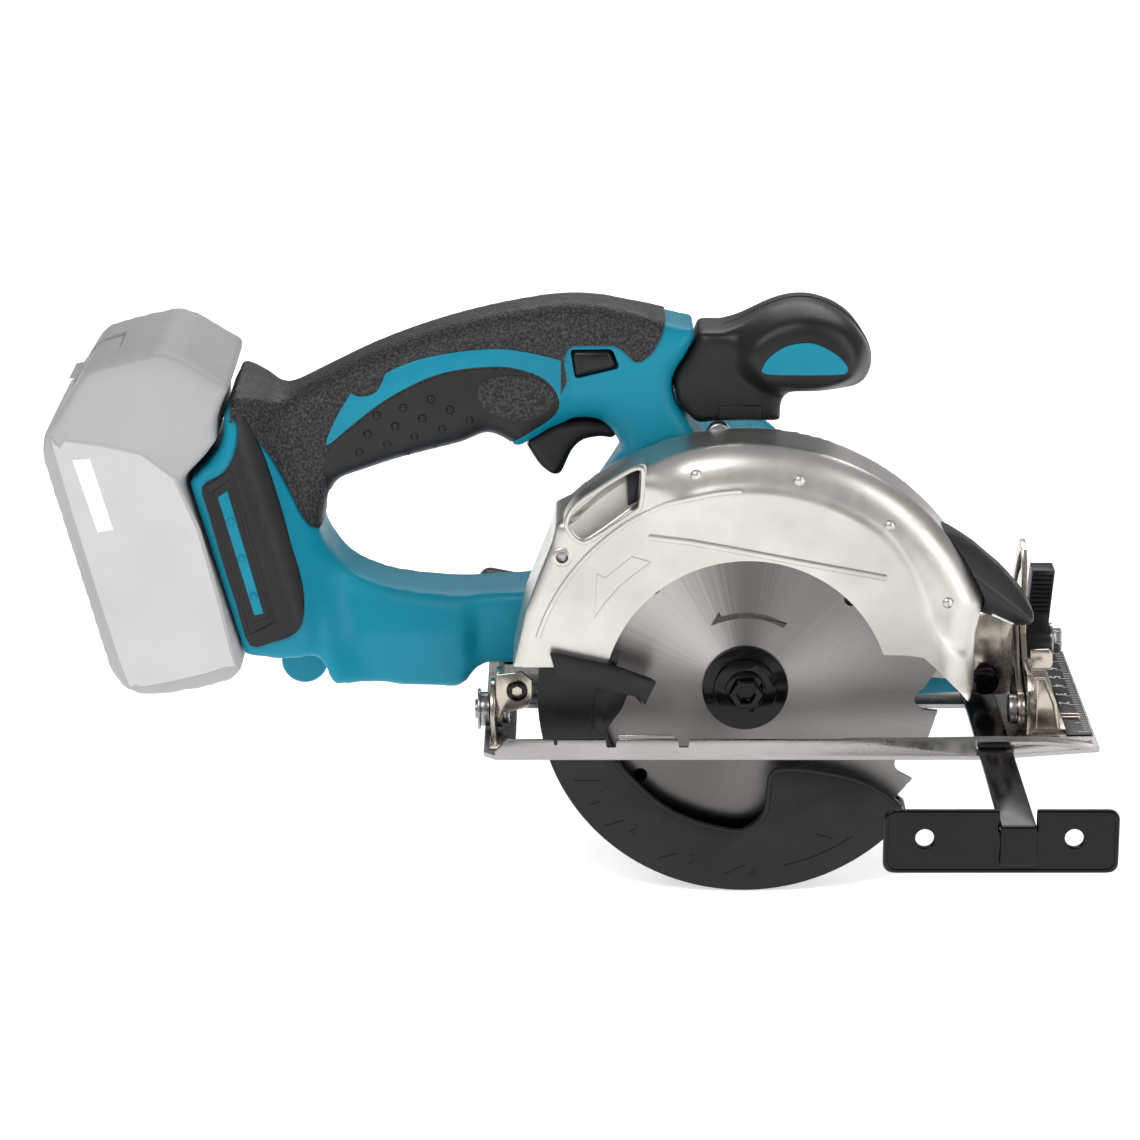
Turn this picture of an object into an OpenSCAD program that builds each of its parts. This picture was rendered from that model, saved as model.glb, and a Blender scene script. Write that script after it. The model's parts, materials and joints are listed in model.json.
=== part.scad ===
// Cordless circular saw with a D-handle, a tilting base, a swinging lower guard and a rip fence.
// Origin on the sole, below the spindle: +X is the cutting direction, +Z is up, the blade is on the -Y side.

/* [Blade] */
// Blade diameter
blade_d = 136; // [134:1:136]
// Number of teeth
teeth = 16; // [14:1:18]
// Thickness of the blade's body
blade_t = 1.2; // [1:0.1:1.4]
// Width of the cut
kerf = 1.9; // [1.7:0.1:2.1]

/* [Base] */
// Length of the base
base_l = 213; // [210:1:216]
// Thickness of the base's sheet
base_t = 2; // [1.5:0.1:2.2]
// Height of the flange along the base's near edge
flange_h = 7.3; // [6:0.1:7.5]

/* [Guard and case] */
// Outer radius of the swinging lower guard
guard_r = 72.5; // [71:0.5:73]
// Outer radius of the blade case
case_r = 88.9; // [88:0.1:90]

/* [Handle] */
// Width of the grip
grip_w = 34; // [32:1:36]
// Wall of the moulded shells
wall = 2.6; // [2.2:0.1:3]
// Width of the battery mount
mount_w = 68; // [66:1:70]

/* [Battery] */
// Width of the battery pack
pack_w = 75; // [74:1:76]

/* [Fence] */
// Width of the rip fence's arm
fence_arm_w = 11.8; // [11:0.1:12]
// Distance of the rip fence from the blade
fence_out = 106; // [100:1:110]

/* [Hidden] */
$fn = 64;

// colours
teal = [0.03, 0.47, 0.57];
black = [0.13, 0.13, 0.13];
silver = [0.80, 0.79, 0.77];
nickel = [0.62, 0.58, 0.54];
steel = [0.55, 0.55, 0.56];
ghost = [0.80, 0.80, 0.81];

// axes and planes
blade_y = -38;                    // middle of the blade
spindle = [0, 17];                // X and Z of the spindle
motor = [-6, 48];                 // X and Z of the motor
idler = [8.68, 31.6];             // X and Z of the idler shaft
depth_axis = [86, 13];            // X and Z of the pivot that sets the depth
bevel_axis = [blade_y, 9];        // Y and Z of the pivot that sets the bevel
base_x = -91;                     // rear edge of the base
base_near = -67;                  // near edge of the base
base_far = 57;                    // far edge of the base
fence_x = 79;                     // rear side of the fence's arm
run = 0.05;                       // radial clearance of a running fit
gap = 0.4;                        // clearance between parts that pass each other
case_near = blade_y - 13;         // outside of the case's near wall
case_far = blade_y + 20;          // outside of the case's far wall
mount_slant = 17.2;               // lean of the battery rails from the vertical
stud_r = 142;                     // depth stud's distance from the depth pivot
stud_angle = 6;                   // depth stud's angle above the pivot at full depth
stud = depth_axis + stud_r * [-cos(stud_angle), sin(stud_angle)];
bolt_r = 54;                      // bevel clamp stud's distance from the bevel axis
bolt_angle = 9;                   // its angle at zero bevel
bolt = bevel_axis + bolt_r * [cos(bolt_angle), sin(bolt_angle)];

// points along an arc
function arc(c, r, a0, a1, n = 24) =
    [for (i = [0:n]) c + r * [cos(a0 + (a1 - a0) * i / n), sin(a0 + (a1 - a0) * i / n)]];
// one point of a smooth curve through four neighbours
function blend_point(p, q, r, s, t) =
    0.5 * (2 * q + (r - p) * t + (2 * p - 5 * q + 4 * r - s) * t * t
    + (3 * q - p - 3 * r + s) * t * t * t);
// a smooth curve through a list of points
function curve(pts, n = 4) = let (m = len(pts) - 1)
    [for (i = [0:m - 1], k = [0:n - (i == m - 1 ? 0 : 1)])
        blend_point(pts[max(i - 1, 0)], pts[i], pts[i + 1], pts[min(i + 2, m)], k / n)];
function shift(pts, d) = [for (p = pts) p + d];
function turn(p, a) = [p[0] * cos(a) - p[1] * sin(a), p[0] * sin(a) + p[1] * cos(a)];
function reverse(pts) = [for (i = [len(pts) - 1:-1:0]) pts[i]];

// an outline in X and Z made solid from y0 to y1
module along_y(y0, y1) {
    translate([0, y1, 0]) rotate([90, 0, 0]) linear_extrude(y1 - y0) children();
}
// an outline in Y and Z made solid from x0 to x1
module along_x(x0, x1) {
    translate([x0, 0, 0]) rotate([90, 0, 90]) linear_extrude(x1 - x0) children();
}
module disc(c, r) { translate(c) circle(r); }
module rod_y(c, r, y0, y1) { translate([c[0], y0, c[1]]) rotate([-90, 0, 0]) cylinder(h = y1 - y0, r = r); }
module rod_x(c, r, x0, x1) { translate([x0, c[0], c[1]]) rotate([0, 90, 0]) cylinder(h = x1 - x0, r = r); }
module tube_y(c, r, r_in, y0, y1) {
    difference() {
        rod_y(c, r, y0, y1);
        rod_y(c, r_in, y0 - 1, y1 + 1);
    }
}
module sector(c, r, a0, a1) { polygon(concat([c], arc(c, r, a0, a1, 32))); }
module ring_sector(c, r, r_in, a0, a1) {
    polygon(concat(arc(c, r, a0, a1, 40), arc(c, r_in, a1, a0, 40)));
}
// two round ends joined by their tangents
module link(p, q, r) {
    d = q - p;
    disc(p, r);
    disc(q, r);
    translate(p) rotate(atan2(d[1], d[0])) translate([0, -r]) square([norm(d), 2 * r]);
}

// ---- base ----
slot_near = -60.5;                // near edge of the blade's window
slot_far = -11;                   // far edge of the blade's window
module base_plate() {
    x1 = base_x + base_l;
    color(silver) difference() {
        union() {
            linear_extrude(base_t) polygon([[base_x, base_near + 4], [base_x + 4, base_near],
                [82, base_near], [x1, base_near + 8], [x1, base_far - 6], [x1 - 6, base_far],
                [base_x + 6, base_far], [base_x, base_far - 6]]);
            along_y(base_near, base_near + 1.6) polygon([[base_x + 4, base_t], [82, base_t],
                [82, flange_h], [base_x + 8, flange_h], [base_x + 4, flange_h - 4]]);
        }
        translate([-80, slot_near, -1]) cube([160.5, slot_far - slot_near, base_t + 2]);
        translate([-60, base_far - 30, -1]) linear_extrude(base_t + 2) link([0, 0], [90, 0], 7);
        translate([fence_x - gap, base_near - 1, base_t])
            cube([fence_arm_w + 2 * gap, 4, flange_h]);
    }
}

quad_x = 98;                      // rear face of the quadrant
module bevel_quadrant() {
    color(nickel) {
        difference() {
            along_x(quad_x, quad_x + 2) difference() {
                polygon(concat([[-46, base_t], [22, base_t], [25, 12]],
                    arc(bevel_axis, bolt_r + 8, 10, 58, 16),
                    [[-14, 60], [-17, 54], [-17, 30], [-24, 23], [-42, 23], [-46, 18]]));
                ring_sector(bevel_axis, bolt_r + 3.2, bolt_r - 3.2, bolt_angle, bolt_angle + 50);
                disc(bolt, 3.2);
                disc(bevel_axis + bolt_r * [cos(bolt_angle + 50), sin(bolt_angle + 50)], 3.2);
            }
            rod_x(bevel_axis, 3 + run, quad_x - 1, quad_x + 3);
        }
        translate([quad_x + 2, -44, base_t]) cube([12, 66, 1.6]);
        along_y(-46, -44.4) polygon([[quad_x + 2, base_t + 1.6], [110, base_t + 1.6],
            [108, 14], [quad_x + 6, 23], [quad_x + 2, 23]]);
    }
}

rear_x = -89;                     // rear face of the fixed rear bracket
module rear_bracket() {
    color(nickel) difference() {
        union() {
            along_x(rear_x, rear_x + 1.8) polygon(concat([[-50, base_t], [-24, base_t]],
                arc(bevel_axis, 11, 0, 180, 16)));
            for (y = [-62, -26]) translate([rear_x, y, base_t]) cube([7, 12, 1.2]);
        }
        rod_x(bevel_axis, 3 + run, rear_x - 1, rear_x + 3);
    }
}

module rip_scale() {
    color(black) translate([0, 0, base_t]) linear_extrude(0.5)
        polygon([[112, -47], [121, -47], [121, 53], [114, 53]]);
}

module fence_clamp() {
    color(nickel) difference() {
        union() {
            translate([fence_x - 5, 30, base_t]) cube([fence_arm_w + 10, 12, 6]);
            translate([fence_x + 0.9, 31, base_t + 6]) cube([10, 10, 4]);
        }
        translate([fence_x - gap, 29, base_t - 1]) cube([fence_arm_w + 2 * gap, 14, 4]);
        translate([fence_x + 5.9, 36, 0]) cylinder(h = 20, r = 2.5 + run);
    }
}
module fence_screw() {
    color(steel) translate([fence_x + 5.9, 36, 0]) {
        translate([0, 0, 5.2]) cylinder(h = 10.8, r = 2.5);
        translate([0, 0, 12.4]) cylinder(h = 3.6, r = 5);
        translate([-1.4, -9, 16]) cube([2.8, 18, 9]);
    }
}

plate_drop = 12.4;                // how far the fence's plate hangs below the sole
plate_top = 9.4;
module rip_fence() {
    y_bend = -fence_out - 38;
    color(black) difference() {
        union() {
            translate([fence_x, y_bend, base_t + 0.3]) cube([fence_arm_w, fence_out + 80, 2.2]);
            translate([fence_x, y_bend - 2.2, -8]) cube([fence_arm_w, 2.2, base_t + 10.5]);
            along_y(y_bend, y_bend + 2.2) difference() {
                translate([41, -plate_drop]) square([77, plate_drop + plate_top]);
                translate([fence_x, base_t + 0.3]) square([fence_arm_w, plate_top]);
            }
        }
        for (x = [54.5, 103.3]) rod_y([x, -0.3], 3.05, y_bend - 5, y_bend + 5);
    }
}

// ---- tilting brackets ----
tilt_x = 95.2;                    // rear face of the front tilting plate
module front_tilt_bracket() {
    color(nickel) {
        along_x(tilt_x, tilt_x + 2.2) difference() {
            union() {
                disc(bevel_axis, 6.4);
                polygon([[blade_y, 3], [bolt[0] - 3, 12], [bolt[0] + 7, 12], [bolt[0] + 7, 25],
                    [-9, 34], [-16, 34], [-24, 22], [blade_y, 15]]);
            }
            disc(bevel_axis, 2.9);
            disc(bolt, 2.9);
        }
        along_y(-16.5, -14.5) difference() {
            union() {
                disc(depth_axis, 6);
                polygon([[82, 12], [86, 7.2], [tilt_x, 7.2], [tilt_x, 34], [88, 38], [83, 36], [80, 24]]);
            }
            disc(depth_axis, 3);
        }
    }
}

rear_tilt_x = -86.8;
guide_y = 24.5;                   // near face of the depth guide
module rear_tilt_bracket() {
    color(nickel) {
        along_x(rear_tilt_x, rear_tilt_x + 2) difference() {
            union() {
                disc(bevel_axis, 6.4);
                polygon([[blade_y, 2.6], [-30, 5], [guide_y + 2.5, 5], [guide_y + 2.5, 14],
                    [-30, 14], [blade_y, 15.4]]);
                translate([-46, 9]) square([10, 15]);
            }
            disc(bevel_axis, 2.9);
        }
        along_y(-46, -44.2) polygon([[rear_tilt_x + 2, 10], [-76, 12], [-74.5, 16], [-74.5, 22],
            [-78, 25], [rear_tilt_x + 2, 24]]);
        rod_y([-79.6, 18.5], 3, -47.6, -46);
    }
}
module depth_guide() {
    a1 = stud_angle + 37;
    color(black) along_y(guide_y, guide_y + 2.5) difference() {
        polygon(concat([[rear_tilt_x + 2, 5], [rear_tilt_x + 2, 14]],
            arc(depth_axis, stud_r + 8, 179, 180 - a1 - 2, 32),
            arc(depth_axis, stud_r - 8, 180 - a1 - 2, 180, 32), [[depth_axis[0] - stud_r + 8, 5]]));
        ring_sector(depth_axis, stud_r + 3.1, stud_r - 3.1, 180 - stud_angle, 180 - a1);
        disc(stud, 3.1);
        disc(depth_axis + stud_r * [-cos(a1), sin(a1)], 3.1);
    }
}
module bevel_pins() {
    color(steel) {
        rod_x(bevel_axis, 2.9, tilt_x, quad_x + 4);
        rod_x(bevel_axis, 5.2, tilt_x - 3, tilt_x);
        rod_x(bevel_axis, 5, quad_x + 2.3, quad_x + 4.5);
        rod_x(bevel_axis, 2.9, rear_x - 1.5, rear_tilt_x + 2);
        rod_x(bevel_axis, 6, rear_x - 4, rear_x - 0.3);
        rod_x(bevel_axis, 5, rear_tilt_x + 2, rear_tilt_x + 4.5);
        rod_x(bolt, 2.9, tilt_x - 3, 116);
        rod_x(bolt, 5, tilt_x - 5, tilt_x);
    }
}
module depth_pivot_pin() {
    color(black) {
        rod_y(depth_axis, 3 - run, -18.3, 8.5);
        rod_y(depth_axis, 4.2, -19.2, -16.5);
        rod_y(depth_axis, 5, 5.5, 8.5);
    }
}
module bevel_lever() {
    color(black) difference() {
        union() {
            rod_x(bolt, 7, quad_x + 2.4, 112);
            along_x(103, 111) polygon([bolt + [-5, 4], bolt + [5, 4], [4, 50], [-6, 50]]);
        }
        rod_x(bolt, 2.9 + run, quad_x, 120);
    }
}

// ---- drive ----
module gear(c, pitch_r, z, y0, y1, bore_r, phase = 0) {
    m = 2 * pitch_r / z;
    root = pitch_r - 1.15 * m;
    tip = pitch_r + 0.9 * m;
    step = 360 / z;
    along_y(y0, y1) difference() {
        translate(c) rotate(phase) polygon([for (i = [0:z - 1], p = [[root, -0.36], [root, -0.30],
            [pitch_r, -0.23], [tip, -0.12], [tip, 0.12], [pitch_r, 0.23], [root, 0.30], [root, 0.36]])
            p[0] * [cos((i + p[1]) * step), sin((i + p[1]) * step)]]);
        disc(c, bore_r);
    }
}
spindle_teeth = 21;
idler_small = 13;
idler_large = 34;
motor_teeth = 10;
to_idler = atan2(idler[1] - spindle[1], idler[0] - spindle[0]);
to_motor = atan2(motor[1] - idler[1], motor[0] - idler[0]);
module drive_gear() {
    color(steel) gear(spindle, 10.5, spindle_teeth, -16, -9, 5, to_idler);
}
module idler_gears() {
    color(steel) {
        gear(idler, 6.5, idler_small, -16, -9, 3, to_idler + 180 + 180 / idler_small);
        gear(idler, 17, idler_large, 2, 8, 3, to_motor);
        rod_y(idler, 3, -17.2, 10.4);
    }
}
module motor_pinion() {
    color(steel) gear(motor, 5, motor_teeth, 1.5, 8.5, 2.5, to_motor + 180 + 180 / motor_teeth);
}
lock_y = -6.8;                    // where the shaft lock's pin meets the spindle's cross holes
module spindle() {
    color(steel) difference() {
        union() {
            rod_y(spindle, 5, -33.4, -5);
            rod_y(spindle, 2.5, -5, 0.6);
            rod_y(spindle, 4, -41.6, -33.4);
        }
        rod_x([lock_y, spindle[1]], 1.9, -6, 6);
        translate([0, lock_y, spindle[1] - 6]) cylinder(h = 12, r = 1.9);
    }
}
module inner_flange() {
    color(steel) tube_y(spindle, 15, 4, blade_y + blade_t / 2, -33.4);
}
module outer_flange() {
    color(black) difference() {
        union() {
            rod_y(spindle, 15, blade_y - 2.2, blade_y - blade_t / 2);
            rod_y(spindle, 11, blade_y - 3.6, blade_y - 2.2);
        }
        rod_y(spindle, 4, -45, -30);
    }
}
module blade_bolt() {
    color(black) difference() {
        union() {
            rod_y(spindle, 7, -43.2, -41.6);
            along_y(-47.5, -43.2) translate(spindle) circle(5.8, $fn = 6);
        }
        along_y(-48, -44) translate(spindle) circle(3.4, $fn = 6);
    }
}

// one tooth: tip, gullet and back, turned to its place
function tooth(a, r) = let (g = [r - 4.8, 3.7]) [for (p = concat([[r, 0]],
    [for (t = [-90:-20:-250]) g + 3.7 * [cos(t), sin(t)]],
    [(r - 0.8) * [cos(12.6), sin(12.6)], (r - 0.3) * [cos(19), sin(19)]])) turn(p, a)];
tooth_phase = -7.25;
module saw_blade() {
    r = blade_d / 2 - 0.2;
    step = 360 / teeth;
    color(steel) difference() {
        union() {
            along_y(blade_y - blade_t / 2, blade_y + blade_t / 2) translate(spindle)
                polygon([for (i = [0:teeth - 1], p = tooth(tooth_phase + i * step, r)) p]);
            for (i = [0:teeth - 1]) along_y(blade_y - kerf / 2, blade_y + kerf / 2)
                translate(spindle) rotate(tooth_phase + i * step)
                polygon([[r - 5, -0.1], [r + 0.2, 0], [r, -1.8], [r - 5, -1.5]]);
        }
        rod_y(spindle, 4, -50, -30);
        for (a = [41.5:90:360]) rod_y(spindle + 48.7 * [cos(a), sin(a)], 2.45, -50, -30);
    }
}

// ---- gearbox and motor ----
module gearbox_outline(d) {
    disc(spindle, 13.4 - d);
    disc(idler, 21 - d);
    disc(motor, 33 - d);
    polygon([spindle + [-13 + d, 2], spindle + [13 - d, 2], idler + [18 - d, 0], motor + [10, -10],
        motor + [-26 + d, -18]]);
}
module gear_housing() {
    color(silver) difference() {
        union() {
            along_y(-18, 9) gearbox_outline(0);
            rod_y(spindle, 17.5, -27, case_far);
        }
        along_y(-16.6, 10) gearbox_outline(1.6);
        along_y(-30, 10) disc(spindle, 10);
        along_y(-7.6, 10) disc(idler, 19.4);
        rod_y(idler, 3 + run, -17.4, 10);
        translate([8, -8.9, spindle[1] - 2.1]) cube([16, 4.2, 4.2]);
        rod_x([lock_y, spindle[1]], 2.1, 6, 30);
    }
}
module gear_cover() {
    color(silver) along_y(9, 12) difference() {
        gearbox_outline(0);
        disc(motor, 9.5);
        disc(idler, 5);
    }
}
module gearbox_bearings() {
    color(steel) {
        tube_y(spindle, 10, 5 + run, -26.5, -18.5);
        tube_y(idler, 5, 3 + run, 9, 11.5);
    }
}
module motor_housing() {
    color(teal) difference() {
        rod_y(motor, 33, 12, 106);
        rod_y(motor, 30, 14, 107);
        rod_y(motor, 9.5, 11, 20);
    }
}
module motor_end_cover() {
    color(teal) difference() {
        union() {
            rod_y(motor, 33, 106, 112);
            rod_y(motor, 28, 112, 116);
        }
        rod_y(motor, 27, 105, 111);
        rod_y(motor, 8, 110, 114);
        for (a = [30:30:330]) if (a != 90 && a != 270) along_y(110, 118) translate(motor)
            rotate(a) translate([12, -1.4]) square([12, 2.8]);
    }
}
module motor_can() { color(nickel) tube_y(motor, 26, 24.4, 34, 86); }
module motor_magnets() {
    color(black) for (a = [45, 225]) along_y(38, 82) ring_sector(motor, 24.3, 21.6, a, a + 110);
}
module brush_holders() {
    color([0.75, 0.6, 0.3]) for (s = [-1, 1])
        translate([motor[0] + (s > 0 ? 9.4 : -21), 88, motor[1] - 4]) cube([11.6, 7, 8]);
}
module armature() {
    color(steel) {
        rod_y(motor, 2.5, 1.5, 112.5);
        tube_y(motor, 20.5, 2.5, 40, 80);
    }
}
module commutator() { color([0.72, 0.45, 0.25]) tube_y(motor, 9, 2.5, 86.5, 96); }
module cooling_fan() {
    color(black) {
        tube_y(motor, 27, 2.5, 19, 20.6);
        for (a = [0:30:330]) along_y(20.6, 30) translate(motor) rotate(a)
            translate([10, -0.8]) square([16, 1.6]);
    }
}
module motor_bearings() {
    color(steel) {
        tube_y(motor, 9.5, 2.5 + run, 9, 14);
        tube_y(motor, 8, 2.5 + run, 110, 114);
    }
}
module pivot_arm() {
    color(teal) along_y(-13, 5) difference() {
        union() {
            disc(depth_axis, 6);
            polygon([[idler[0] + 14, 3.4], [80, 7.2], [86, 19], [62, 19.5], [50, 11.5], [30, 11.5],
                [idler[0] + 14, 15]]);
        }
        disc(depth_axis, 3);
        disc(idler, 21);
        disc(spindle, 13.4);
        polygon([spindle, spindle + [13, 2], idler + [18, 0], idler]);
    }
}

// ---- blade case ----
case_rear = -80.5;
function case_outline(d, drop) = concat([[case_rear + d, 28 - drop], [-76.7 + d, 49],
    [-67.5 + d, 72.5], [-65 + d, 80 - d / 2]], arc(spindle, case_r - d, 131.5, 22, 40),
    [[79.7 - d, 38], [79.4 - d, 20], [77.5 - d, 14 - drop]]);
module case_mouth() {
    disc(spindle, 49.7);
    polygon([[-100, 28], [-48, 28.2], [0, 40], [47, 32.9], [61, 31.8], [64.7, 28.5],
        [69.3, 23.8], [74.6, 18], [77.6, 13.9], [77.6, -10], [-100, -10]]);
}
module blade_case() {
    color(silver) difference() {
        along_y(case_near, case_far) polygon(case_outline(0, 0));
        along_y(case_near + 2, case_far - 2) polygon(case_outline(2, 40));
        along_y(case_near - 1, case_near + 3) case_mouth();
        rod_y(spindle, 17.5, -30, 0);
        rod_y([-64, 68.2], 2.2, case_near - 1, -30);
    }
}
module case_screws() {
    color(steel) for (p = [[-18, 40], [24, 40], [-14, 70]]) rod_y(p, 3.2, case_far - 5, case_far - 2);
}
module lamp_housing() {
    color(black) along_y(-46, -20.5) difference() {
        polygon([[66, 75.4], [74.6, 71.5], [83.6, 64.5], [92.5, 55.8], [99.8, 45.5], [99, 41.4],
            [93, 39.5], [84.5, 43.2], [60, 60]]);
        disc(spindle, case_r + 0.1);
        polygon([[85, 44.2], [92.6, 40.9], [93.8, 43.6], [86.2, 47]]);
    }
}
module lamp_lens() {
    color("white") along_y(-42, -24.5) polygon([[85, 44.2], [92.6, 40.9], [93.8, 43.6], [86.2, 47]]);
}

// ---- handle ----
crown = curve([[-163, 113], [-149, 120], [-129, 130], [-109, 137.4], [-90, 142.9], [-70, 146.7],
    [-55, 147.4], [-39, 144.4], [-28, 140.2]]);
rubber_t = 3.2;
lower_arm = [[-30, 20], [-60, 17.5], [-91, 17.3], [-94.5, 15.4], [-98, 10.5], [-101, 8.9],
    [-120, 9.6], [-134.8, 11.5], [-143.8, 13.6], [-147, 17.4], [-163.4, 25]];
mount_edge = [[-173.8, 27.2], [-193, 89.3], [-181.2, 103], [-181, 113], [-176, 121]];
finger_gap = concat(curve([[-81, 93.2], [-87.5, 97], [-94, 97.3], [-109.7, 93.2], [-129.7, 87.3],
    [-143.6, 82.4], [-148.5, 75.2], [-148.4, 64.4], [-140.1, 53.5], [-120.2, 45.4],
    [-100.2, 43.5], [-71.7, 45.2]]), [[-62, 46], [-60, 84], [-52, 94], [-48, 99], [-52, 104],
    [-74, 104], [-79, 98]]);
module handle_outline() {
    difference() {
        polygon(concat(shift(crown, [0, -rubber_t]), [[-27.9, 140.2], [-16.8, 137.1], [-22, 126], [-25, 118],
            [-23.5, 108], [-18, 99], [-8, 90], [-6, 60]], lower_arm, mount_edge));
        polygon(finger_gap);
        gearbox_outline(-0.2);
    }
}
module handle_cavity() {
    difference() {
        offset(delta = -wall) handle_outline();
        for (p = screw_posts) disc(p, 4);
    }
}
screw_posts = [[-150, 112], [-98, 128], [-36, 108], [-152, 35], [-106, 22], [-62, 28]];
mount_block = [[-176, 122], [-181, 113], [-181.2, 103], [-193, 89.3], [-173.8, 27.2], [-162, 27.2],
    [-156, 50], [-165, 84], [-168, 114]];
trigger_hinge = [-46, 101.5];
module handle_half(y0, y1, m0, m1) {
    color(teal) difference() {
        union() {
            along_y(y0, y1) handle_outline();
            along_y(m0, m1) polygon(mount_block);
        }
        along_y(max(y0 - 1, wall - grip_w / 2), min(y1 + 1, grip_w / 2 - wall)) handle_cavity();
        for (p = screw_posts) rod_y(p, 1.5, -40, 40);
        translate([-61, -40, 123.6]) cube([16.4, 80, 9.2]);
        along_y(-8.5, 8.5) polygon([[-82, 98], [-82, 114], [-40, 114], [-40, 98], [-48, 92], [-60, 92]]);
        along_y(-28, 28) polygon([[-200, 40], [-169, 47], [-171, 70], [-184, 84], [-200, 88]]);
    }
}
module shell_near() { handle_half(-grip_w / 2, 0, -mount_w / 2, 0); }
module shell_far() { handle_half(0, grip_w / 2, 0, mount_w / 2); }
module shell_screws() {
    color(steel) for (p = screw_posts) {
        rod_y(p, 1.5, -8, grip_w / 2);
        rod_y(p, 3, grip_w / 2, grip_w / 2 + 1.8);
    }
}
module grip_rubber() {
    t = 1.6;
    color(black) {
        along_y(-grip_w / 2, grip_w / 2) polygon(concat(crown, reverse(shift(crown, [0, -rubber_t]))));
        for (y = [-grip_w / 2 - t, grip_w / 2]) along_y(y, y + t)
            polygon(curve([[-146, 88], [-128.7, 111], [-109, 121], [-89, 125.5], [-74, 124],
                [-66, 116], [-67, 109], [-81, 99], [-95, 99.5], [-128, 89.5], [-146, 88]]));
    }
}
bulb = curve([[-1.6, 140], [5.5, 144.4], [12.6, 147.4], [18.8, 148.4], [25, 147.6], [32.2, 144.4],
    [37.7, 139.9], [42.3, 133.9], [44.6, 127.5], [43.8, 121.9], [40.8, 117.3], [36.4, 115]]);
module front_grip() {
    color(black) {
        along_y(-15, 15) polygon(concat([[-24.6, 118], [-21.6, 126], [-17.6, 132],
            [-16.4, 134], [-16.4, 137.2], [-7.9, 138.2]],
            bulb, [[14, 114.8], [12.2, 112.5], [11.6, 107], [12, 105.9], [0, 106.2], [-17, 105.2],
            [-22, 106.5], [-23.1, 108.2]]));
        for (y = [-22, 15]) along_y(y, y + 7) disc([20, 131], 12.4);
    }
}
module front_grip_insert() {
    color(teal) for (y = [-24, 22]) along_y(y, y + 2)
        polygon(concat([[6, 126.5]], [for (a = [170:-20:10]) [20 + 14 * cos(a), 127.5 + 8 * sin(a)]],
            [[34, 126.5], [20, 125.4]]));
}
module mount_rubber() {
    color(black) for (y = [-mount_w / 2 - 2, mount_w / 2]) along_y(y, y + 2)
        polygon([[-188.5, 88.4], [-172.6, 33.2], [-158, 36], [-160, 66], [-167, 104], [-175, 113],
            [-179, 103]]);
}
module terminal_block() {
    color(black) {
        along_y(-14, 14) polygon([[-184, 63.6], [-177, 65.6], [-173, 52], [-180.4, 50]]);
        for (y = [-10, 8]) along_y(y, y + 2) polygon([[-189, 68], [-184.4, 69.4], [-182.4, 62.9], [-187.2, 61.4]]);
    }
}
module switch_unit() { color(black) translate([-78, -7, 115]) cube([15, 14, 17]); }
module trigger() {
    color(black) along_y(-7.5, 7.5) difference() {
        union() {
            polygon(concat(curve([[-76.7, 95.6], [-72, 88.2], [-67.6, 85.1], [-64.4, 85.6],
                [-61.6, 91.6], [-57, 97.4], [-50.6, 98.5]]), [[-48, 98.4], [-48, 103], [-56, 106.5],
                [-66, 105], [-76, 100]]));
            disc(trigger_hinge, 3.4);
        }
        disc(trigger_hinge, 1.5 + run);
    }
}
module lock_off_button() { color(black) translate([-60.2, -18.6, 124.4]) cube([14.8, 37.2, 7.6]); }
module shaft_lock() {
    color(black) {
        rod_x([lock_y, spindle[1]], 1.7, 5.6, 36);
        rod_x([lock_y, spindle[1]], 4.6, 36, 44);
    }
}
module depth_stud() { color(steel) rod_y(stud, 2.9, grip_w / 2, 37); }
module depth_lever() {
    color(black) difference() {
        union() {
            rod_y(stud, 7, guide_y + 2.9, 35);
            along_y(guide_y + 3.2, 34) link(stud, stud + [-35, 7], 4.5);
        }
        rod_y(stud, 2.9 + run, 0, 50);
    }
}

// ---- lower guard ----
guard_a0 = 150;
guard_a1 = 322;
guard_near = -46.5;
module lower_guard() {
    color(black) difference() {
        union() {
            along_y(guard_near, guard_near + 2) difference() {
                polygon(concat(arc(spindle, guard_r, guard_a0, guard_a1, 60),
                    curve([[55, -24.5], [52.7, -21.6], [42.8, -15.4], [25.2, -10.5], [12.6, -10],
                        [8.9, -13.4], [8.2, -22], [5, -28.7], [-1.1, -33.4]]),
                    arc(spindle, 50.5, 266, 177, 24), arc(spindle, 46.8, 176, guard_a0, 8)));
            }
            along_y(guard_near + 2, -31)
                ring_sector(spindle, guard_r, guard_r - 2.2, guard_a0, guard_a1);
            along_y(-31, -29) {
                difference() {
                    sector(spindle, guard_r, guard_a0, guard_a1);
                    disc(spindle, 19);
                }
                difference() {
                    disc(spindle, 21);
                    disc(spindle, 17.5 + run);
                }
            }
            tube_y(spindle, 21, 17.5 + run, -29, -22.5);
        }
        rod_y(spindle, 17.5 + run, -50, -20);
    }
}
module guard_lever() {
    color(black) {
        along_y(-55, -52.3) polygon([[-68.1, 34.5], [-46.7, 29.8], [-31.5, 24], [-35.3, 16],
            [-37, 18.5], [-49.1, 21.8], [-62.6, 24.3], [-66.4, 28.3]]);
        along_y(-52.3, guard_near) ring_sector(spindle, 49.2, 46.8, 158, 175);
    }
}
module guard_spring() { color(steel) tube_y(spindle, 22.6, 21.4, -28, -23); }

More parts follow.
